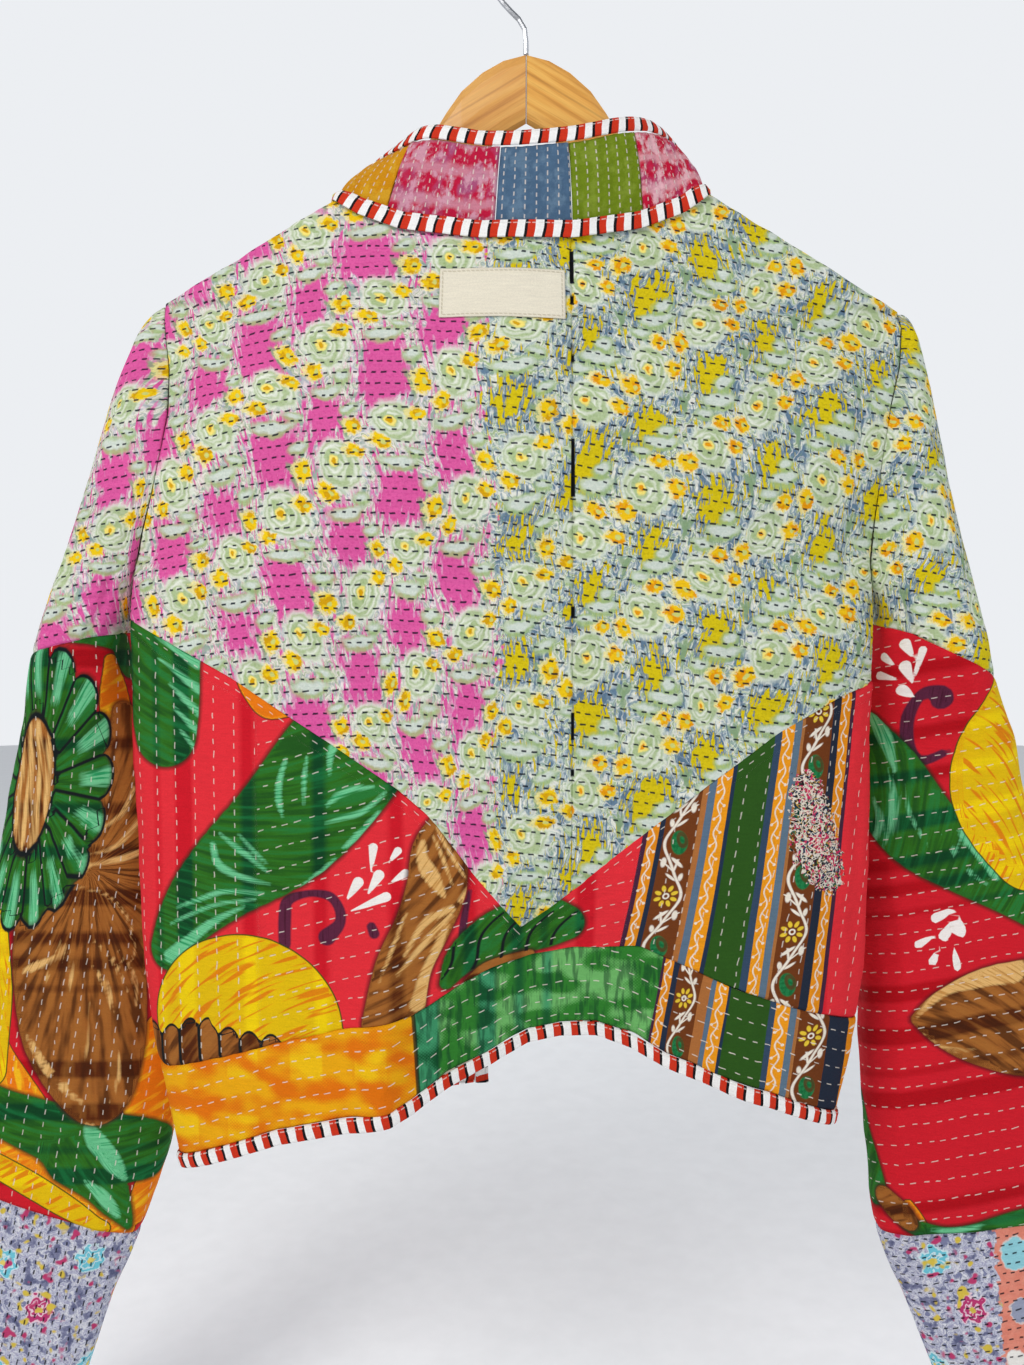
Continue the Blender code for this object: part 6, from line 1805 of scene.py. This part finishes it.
SLEEVE_LEAVES = dict(
    left=(
        ("orange", 20, 0.0, ((-243, -408, 4), (-244, -430, 9), (-246, -452, 8))),
        ("orange", 30, 0.0, ((-222, -640, 14), (-226, -664, 20), (-232, -684, 16))),
        ("orange", 100, 0.0, ((-334, -640, 12), (-320, -668, 14), (-300, -690, 10))),
        ("orange", 20, 0.0, ((-340, -704, 10), (-304, -720, 15), (-268, -744, 14), (-250, -764, 8))),
        ("yellow", 100, 0.0, ((-330, -560, 10), (-330, -610, 14), (-332, -660, 12))),
        ("yellow", 25, 0.0, ((-334, -716, 7), (-312, -727, 7.5), (-288, -742, 7), (-262, -760, 5))),
        ("orange", 30, 0.0, ((-214, -700, 12), (-224, -726, 14), (-238, -752, 10))),
        ("green", 150, 0.5, (
            (-330, -684, 14), (-300, -696, 17), (-268, -706, 22), (-238, -712, 20), (-224, -716, 12),
        )),
        ("green", 120, 0.4, ((-280, -716, 16), (-262, -730, 14), (-250, -752, 6), (-246, -762, 2))),
        ("green", 60, 0.2, ((-276, -392, 5), (-258, -391, 7), (-236, -394, 9), (-230, -412, 7))),
        ("brown", (-266, -536), 0.0, (
            (-240, -440, 7), (-244, -470, 12), (-254, -505, 24), (-268, -545, 38), (-274, -590, 41),
            (-272, -636, 38), (-266, -668, 25), (-264, -686, 8),
        )),
        *strokes("tan",
            ((-271.4, -547.4, 0.5), (-256.7, -551.9, 1), (-243.5, -566.9, 1), (-239.6, -590.9, 0.4)),
            ((-265, -578.9, 0.5), (-252.3, -593.8, 1.2), (-244.9, -611.8, 0.4)),
            ((-265, -596.2, 0.6), (-257.9, -607.3, 2.2), (-252.9, -625.3, 1)),
            ((-248.5, -586.4, 0.4), (-240.5, -602.8, 1), (-239.6, -620.8, 0.4)),
            ((-262.6, -526.4, 0.4), (-247.9, -520.4, 1.2), (-231.7, -501, 1.4)),
            ((-265.6, -533.3, 0.5), (-246.4, -529.4, 1.8), (-230.2, -523.4, 1.2)),
            ((-256.7, -510.5, 0.4), (-244.9, -501, 1.2), (-238.5, -486, 0.6)),
            ((-309, -600, 1), (-300, -596, 2.4), (-288, -590, 0.6)),
            ((-306, -640, 1.4), (-296, -658, 3.0), (-282, -674, 2.4), (-270, -682, 0.8)),
            ((-277.3, -563.9, 0.4), (-287.6, -590.9, 0.9), (-297.9, -611.8, 0.4)),
            ((-272.9, -581.9, 0.4), (-280.3, -611.8, 0.9), (-290.6, -638.8, 0.4)),
            ((-267, -617.8, 0.4), (-268.5, -641.8, 0.9), (-274.4, -665.8, 0.4)),
            ((-252.3, -641.8, 0.4), (-249.4, -659.8, 1), (-255.2, -680.7, 0.4)),
            ((-268.5, -695.7, 3), (-264.1, -704.7, 6), (-255.2, -716.7, 6), (-247.9, -728.7, 2)),
            ((-271.4, -730.2, 1.2), (-261.1, -739.2, 4), (-252.3, -752.7, 2)),
        ),
        # the front of the sleeve, which the photograph doesn't show
        ("green", 120, 0.4, ((-424, -420, 8), (-408, -455, 23), (-388, -492, 24), (-374, -530, 8))),
        ("brown", 80, 0.5, ((-420, -590, 8), (-404, -618, 24), (-382, -648, 25), (-362, -672, 6))),
        ("yellow", 100, 0.3, ((-150, -470, 14), (-156, -504, 25), (-160, -540, 16))),
        ("green", 60, 0.4, ((-188, -596, 8), (-168, -630, 22), (-152, -668, 20), (-146, -702, 6))),
        ("plum", 90, 0.0, ((-404, -552, 3), (-392, -560, 3.4), (-386, -574, 4.8))),
        *drops((-352, -566, 3, -362, -556), (-346, -550, 3, -358, -548), (-354, -534, 2.8, -360, -542)),
        *drops((-176, -566, 3, -166, -574), (-166, -558, 3, -162, -570), (-154, -560, 2.8, -156, -572)),
    ),
    right=(
        ("brown", 340, 0.0, ((208, -376, 1.5), (222, -381, 6.5), (241, -389, 2.0))),
        ("plum", 90, 0.0, (
            (253, -463, 2.4), (239, -469, 3.0), (231, -460, 3.8), (229, -442, 3.8), (235, -428, 3.2),
            (244, -428, 5.5), (246, -431, 6.4),
        )),
        ("yellow", 330, 0.5, ((286, -420, 7), (293, -446, 27), (300, -482, 43), (312, -520, 30))),
        ("green", 300, 0.6, (
            (204, -452, 12), (218, -480, 23), (240, -511, 24), (270, -534, 18), (300, -552, 14),
            (332, -570, 13),
        )),
        ("brown", 350, 0.4, ((238, -629, 1.5), (262, -628, 19), (290, -628, 32), (330, -628, 40))),
        *strokes("tan",
            ((207.5, -440.6, 3), (217.4, -455.4, 3.8), (224.4, -475.3, 1)),
            ((220.1, -475.3, 0.5), (225, -492.2, 1.8), (226.8, -515.2, 0.5)),
            ((231, -483, 0.4), (234, -501.4, 1.2), (244.6, -521.3, 0.4)),
            ((212.3, -492.2, 0.5), (216.5, -509.1, 2), (209.3, -527.5, 0.6)),
            ((222, -489.1, 0.4), (222.6, -507.5, 1.2), (218.9, -524.4, 0.4)),
            ((262.7, -510, 2), (274.8, -521.3, 4.6), (287.7, -541.3, 2)),
            ((253.6, -513.7, 0.4), (266.6, -533.6, 1.4), (282.9, -545.9, 0.5)),
            ((240.1, -627.9, 0.6), (256.7, -610.4, 3.6), (276.3, -602.7, 7), (298.9, -598.1, 8)),
            ((244.6, -638, 0.4), (259.7, -647.2, 1.2), (282.3, -648.7, 0.6)),
            ((256.7, -656.4, 0.4), (276.3, -662.5, 1.2), (297.4, -662.5, 0.6)),
            ((249.1, -759.2, 0.6), (262.7, -759.2, 2), (282.3, -754.6, 1)),
        ),
        ("green", 8, 0.2, ((236, -756, 4), (262, -764, 7), (300, -756, 9), (334, -748, 8))),
        ("green", 60, 0.2, ((196, -690, 8), (204, -716, 12), (214, -740, 10))),
        ("brown", 30, 0.0, ((222, -742, 6), (232, -750, 7), (238, -756, 4))),
        ("orange", 300, 0.0, ((236, -744, 3), (242, -754, 4), (248, -764, 3))),
        # the front of the sleeve, which the photograph doesn't show
        ("green", 60, 0.4, ((424, -430, 8), (404, -466, 22), (386, -504, 24), (374, -544, 8))),
        ("brown", 80, 0.5, ((408, -606, 8), (388, -636, 23), (374, -668, 22), (366, -694, 6))),
        ("yellow", 100, 0.3, ((130, -462, 14), (136, -496, 25), (142, -532, 16))),
        ("green", 120, 0.4, ((172, -590, 8), (160, -626, 21), (148, -664, 20), (140, -700, 6))),
        *drops((392, -574, 3, 384, -564), (380, -580, 3, 378, -566), (368, -574, 2.8, 372, -562)),
        *drops(
            (221, -398.6, 3.0, 227, -407), (210.6, -406, 2.6, 218, -411), (231, -402, 2.2, 229, -420),
            (223.3, -411.5, 3.2, 229, -422), (209, -417.5, 2.6, 222, -419), (224, -425.5, 3.2, 231, -430),
            (251, -565.9, 3.2, 264, -559), (256, -577, 3.4, 266, -563), (266.5, -575, 3.2, 268, -561),
            (241, -582.5, 2.6, 251, -576), (249.5, -593, 2.6, 254, -583), (265, -596, 2.8, 261, -582),
        ),
    ),
)


def scalloped_flower(u, v):
    """The big green flower of the left sleeve: petals round a striped brown middle."""
    turn = math.radians(12)
    a = ((u + 300) * math.cos(turn) - (v + 484) * math.sin(turn)) / 46.0
    b = ((u + 300) * math.sin(turn) + (v + 484) * math.cos(turn)) / 88.0
    angle, reach = np.arctan2(b, a), np.hypot(a, b)
    lobes = np.sin(angle * 9)
    petals = (0.90 + 0.15 * np.sqrt(np.abs(lobes)) - reach) * 50
    middle = (0.43 - np.hypot(a * 1.45, b * 0.86)) * 40
    lines = np.where((petals > 0) & (middle < 0), lobes * reach * 6.5, -40.0)
    tips = np.minimum((reach - 0.66) * 18.0, (np.abs(lobes) - 0.8) * reach * 9.0)
    stripes = np.minimum(1.6 - np.abs((a * 46 + b * 6) % 6.5 - 3.25), middle - 1.0)
    light = np.maximum(stripes, np.minimum(tips, petals))
    inks = (("green", petals), ("pen", lines), ("pen", petals), ("pen", middle), ("tan", light))
    return inks, middle, angle, reach


def covered_by_flower(drawn, petals, middle, angle, reach):
    """The flower lies over the leaves behind it; its middle is brown and its strokes fan outwards."""
    ink_a = drawn[0][1].copy()
    ink_a[..., 2] = np.where(middle > -2, middle, np.minimum(ink_a[..., 2], -petals))
    ink_a[..., 1] = np.minimum(ink_a[..., 1], -petals)
    grain = drawn[3][1].copy()
    fanned = (petals > 0) & (middle < 0)
    grain[..., 0] = np.where(fanned, angle * 60, grain[..., 0])
    grain[..., 1] = np.where(fanned, reach * 60, grain[..., 1])
    return (("ink_a", ink_a), *drawn[1:3], ("grain", grain))


def sleeve_sizes(rows, at):
    """The sleeve's six sizes at places along it, on one smooth curve through its rows."""
    numbers = np.array([row[1:] for row in rows], float)
    low = np.minimum(at.astype(int), len(rows) - 2)
    part = (at - low)[:, None]
    a, b, c, d = (numbers[np.clip(low + k, 0, len(rows) - 1)] for k in (-1, 0, 1, 2))
    return between(a, b, c, d, part)


def oval(sizes, angle):
    """Rings of points for rows of sizes, from the outer edge over the back to the inner edge."""
    out_x, out_z, in_x, in_z, y, half = (sizes[:, k][:, None] for k in range(6))
    long, deep = (power(wave(angle), 2 / SLEEVE_SQUARE)[None, :] for wave in (np.cos, np.sin))
    x = (out_x + in_x) / 2 + (out_x - in_x) / 2 * long
    z = (out_z + in_z) / 2 + (out_z - in_z) / 2 * long
    return np.stack([x, y - half * deep, z], axis=-1)


def armhole_points(edge, across, outward_way, angle):
    """The body's own armhole, moved out by the seam's gap, at the sleeve's angles."""
    kept = (edge["z"] <= edge["z"][1]) & (edge["z"] >= ARMHOLE_FOOT)
    z = edge["z"][kept]
    top = body("back", across, z[0])
    ring = [np.array([top[0], top[1] + SEAM_GAP / 2, top[2]])]
    ring += [body("back", across, level) for level in z[1:-1]]
    ring += [np.array([edge["x"][kept][-1], UNDERARM_Y, z[-1]])]
    ring += [body("front", across, level) for level in z[1:-1][::-1]]
    ring = np.array(ring + ring[:1])
    turn = np.linspace(0.0, 2 * np.pi, len(ring))
    made = np.stack([np.interp(angle, turn, ring[:, k]) for k in range(3)], axis=-1)
    return made + np.array([outward_way * SEAM_GAP, 0, 0])


def sleeve_creases(side, turn, at):
    total = np.zeros(np.broadcast(turn, at).shape)
    shift = 0.0 if side == "left" else 0.03
    for u, v, to_u, to_v, wide, rise in SLEEVE_CREASES:
        part = (at - v) / (to_v - v)
        away = turn - shift - (u + (to_u - u) * part) - 0.008 * np.sin(at * 2.3 + u * 40)
        away = (away + 0.5) % 1.0 - 0.5
        hump = np.exp(-((away / wide) ** 2) * 2.5) * ease(part / 0.2) * ease((1 - part) / 0.2)
        total += rise * np.where((part > 0) & (part < 1), hump, 0.0)
    return total


def sleeve(side, edge, across, outward_way, finishes):
    """Three tubes from the armhole down, each hung from the one above it."""
    rows = SLEEVE[side]
    angle = 2 * np.pi * np.linspace(0.0, 1.0, SLEEVE_ROUND)
    parts = [row[0] for row in rows]
    joints = [0, parts.index("middle"), parts.index("lower"), len(rows) - 1]
    plain_start = oval(np.array([rows[0][1:]], float), angle)[0]
    real_start = armhole_points(edge, across, outward_way, angle)
    for (name, material, slot), start, end in zip(finishes, joints, joints[1:]):
        at = start + (end - start) * np.linspace(0.0, 1.0, SLEEVE_ROWS[name])
        points = oval(sleeve_sizes(rows, at), angle)
        fade = np.maximum(0.0, 1 - at / ARMHOLE_FADE)[:, None, None] ** 2
        points = points + (real_start - plain_start)[None] * fade
        if start:
            points[..., 2] -= SEAM_GAP * np.maximum(0.0, 1 - (at - start) / 0.5)[:, None]
        if side == "right":
            points = points[:, ::-1]
        turn = (angle / 2 / np.pi)[None, :] if side == "left" else (angle[::-1] / 2 / np.pi)[None, :]
        facing = outward(points)
        anchor = SLEEVE_ROUND // 4 if side == "left" else SLEEVE_ROUND - 1 - SLEEVE_ROUND // 4
        flat = unrolled(points, anchor)
        u, v = flat[..., 0], flat[..., 1]
        swell = 0.8 * rumple(u, v, 28.0, 83) + 0.3 * rumple(u, v, 12.0, 84)
        blend = np.minimum(np.minimum(turn, 1 - turn) * 25, 1.0)
        lift = sleeve_creases(side, turn, at[:, None]) + swell * blend
        if start == 0:
            lift = lift * ease(at / 1.2)[:, None]
        joined = facing[:, 1] + facing[:, -2]
        facing[:, 0] = facing[:, -1] = joined / np.linalg.norm(joined, axis=-1, keepdims=True)
        points = points + facing * lift[..., None]
        points = tuck(points, facing, 0.9, "tb")
        points[:, -1] = points[:, 0]
        if name == "upper":
            rows_at, drawn = stitched_rows(u, v), ()
        else:
            flower, *shape = scalloped_flower(u, v) if side == "left" else ((),)
            bands = v if side == "left" else v - 0.2 * u
            drawn = painted(u, v, SLEEVE_LEAVES[side], bands, flower) if name == "middle" else ()
            if drawn and side == "left":
                drawn = covered_by_flower(drawn, dict(flower)["green"], *shape)
            along, over = (v, u - 0.16 * v) if side == "left" else (u, v - 0.18 * u)
            rows_at = np.stack([along, over], axis=-1)
        piece = cloth(f"sleeve_{side}_{name}_cloth", points, flat, material, rows_at, drawn, wrap=True)
        sewn(f"sleeve_{side}_{name}", slot, points)


sleeve(
    "left",
    EDGE_LEFT,
    0.0,
    -1,
    (
        ("upper", rose_pink, "pink_floral"), ("middle", sleeve_sari, "leaf_print"),
        ("lower", grey_floral("grey floral", False), "grey_floral"),
    ),
)
sleeve(
    "right",
    EDGE_RIGHT,
    1.0,
    1,
    (
        ("upper", rose_blue, "blue_floral"), ("middle", sleeve_sari, "leaf_print"),
        ("lower", grey_floral("grey floral with a salmon patch", True), "grey_floral"),
    ),
)

# Hanger: two mirrored halves of pale lacquered hardwood that meet on the centre line, and the drawn
# steel wire of its hook, screwed in from above. Both keep the solids' own shape.
wood = Finish("lacquered maple", roughness=0.38, shine=0.5)
wood.shader.inputs["Coat Weight"].default_value = 0.25
wood.shader.inputs["Coat Roughness"].default_value = 0.22
place = wood.node("TexCoord", out=3)
x, y, z = wood.split(place)
side = (x * 4000.0).inside(1.0)
bend = (abs(x) * 0.55 + z) * 1000.0
grain = wood.streaks(x * 9.0, y * 40.0, bend * 0.16 + side * 7.0, detail=4.0, rough=0.6)
fine = wood.streaks(x * 60.0, y * 300.0, bend * 1.3, detail=2.0)
wood.colour = wood.ramp(
    grain,
    (0.30, rgb(190, 122, 44)), (0.46, rgb(228, 164, 74)), (0.58, rgb(240, 184, 92)),
    (0.72, rgb(208, 142, 58)),
)
wood.ink((1.0 - side) * 0.35, rgb(190, 126, 62))
wood.colour = wood.shade(wood.colour, fine * 0.2 + 0.9)
crown = -62.0 - bend
wood.ink((0.6 - abs(crown - 12.0)).inside(0.8) * 0.35, rgb(150, 96, 44))
wood.ink((0.0004 - abs(x)).inside(0.0003) * 0.8, rgb(96, 56, 24))
maple = wood.surface(roughness=fine * 0.16 + 0.32, raised=grain + fine * 0.5, deep=0.1)
steel = Finish("drawn steel wire", roughness=0.3, metallic=1.0, shine=0.5)
place = steel.node("TexCoord", out=3)
scratch = steel.noise(place, 0.0012, detail=3.0)
dull = steel.noise(place, 0.009, detail=2.0)
steel.colour = steel.ramp(dull, (0.35, rgb(176, 178, 182)), (0.65, rgb(206, 208, 212)))
wire = steel.surface(roughness=scratch * 0.25 + 0.2, raised=scratch, deep=0.03)
for name, material in (("hanger_left", maple), ("hanger_right", maple), ("hook", wire)):
    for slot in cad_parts[name].material_slots:
        slot.material = material
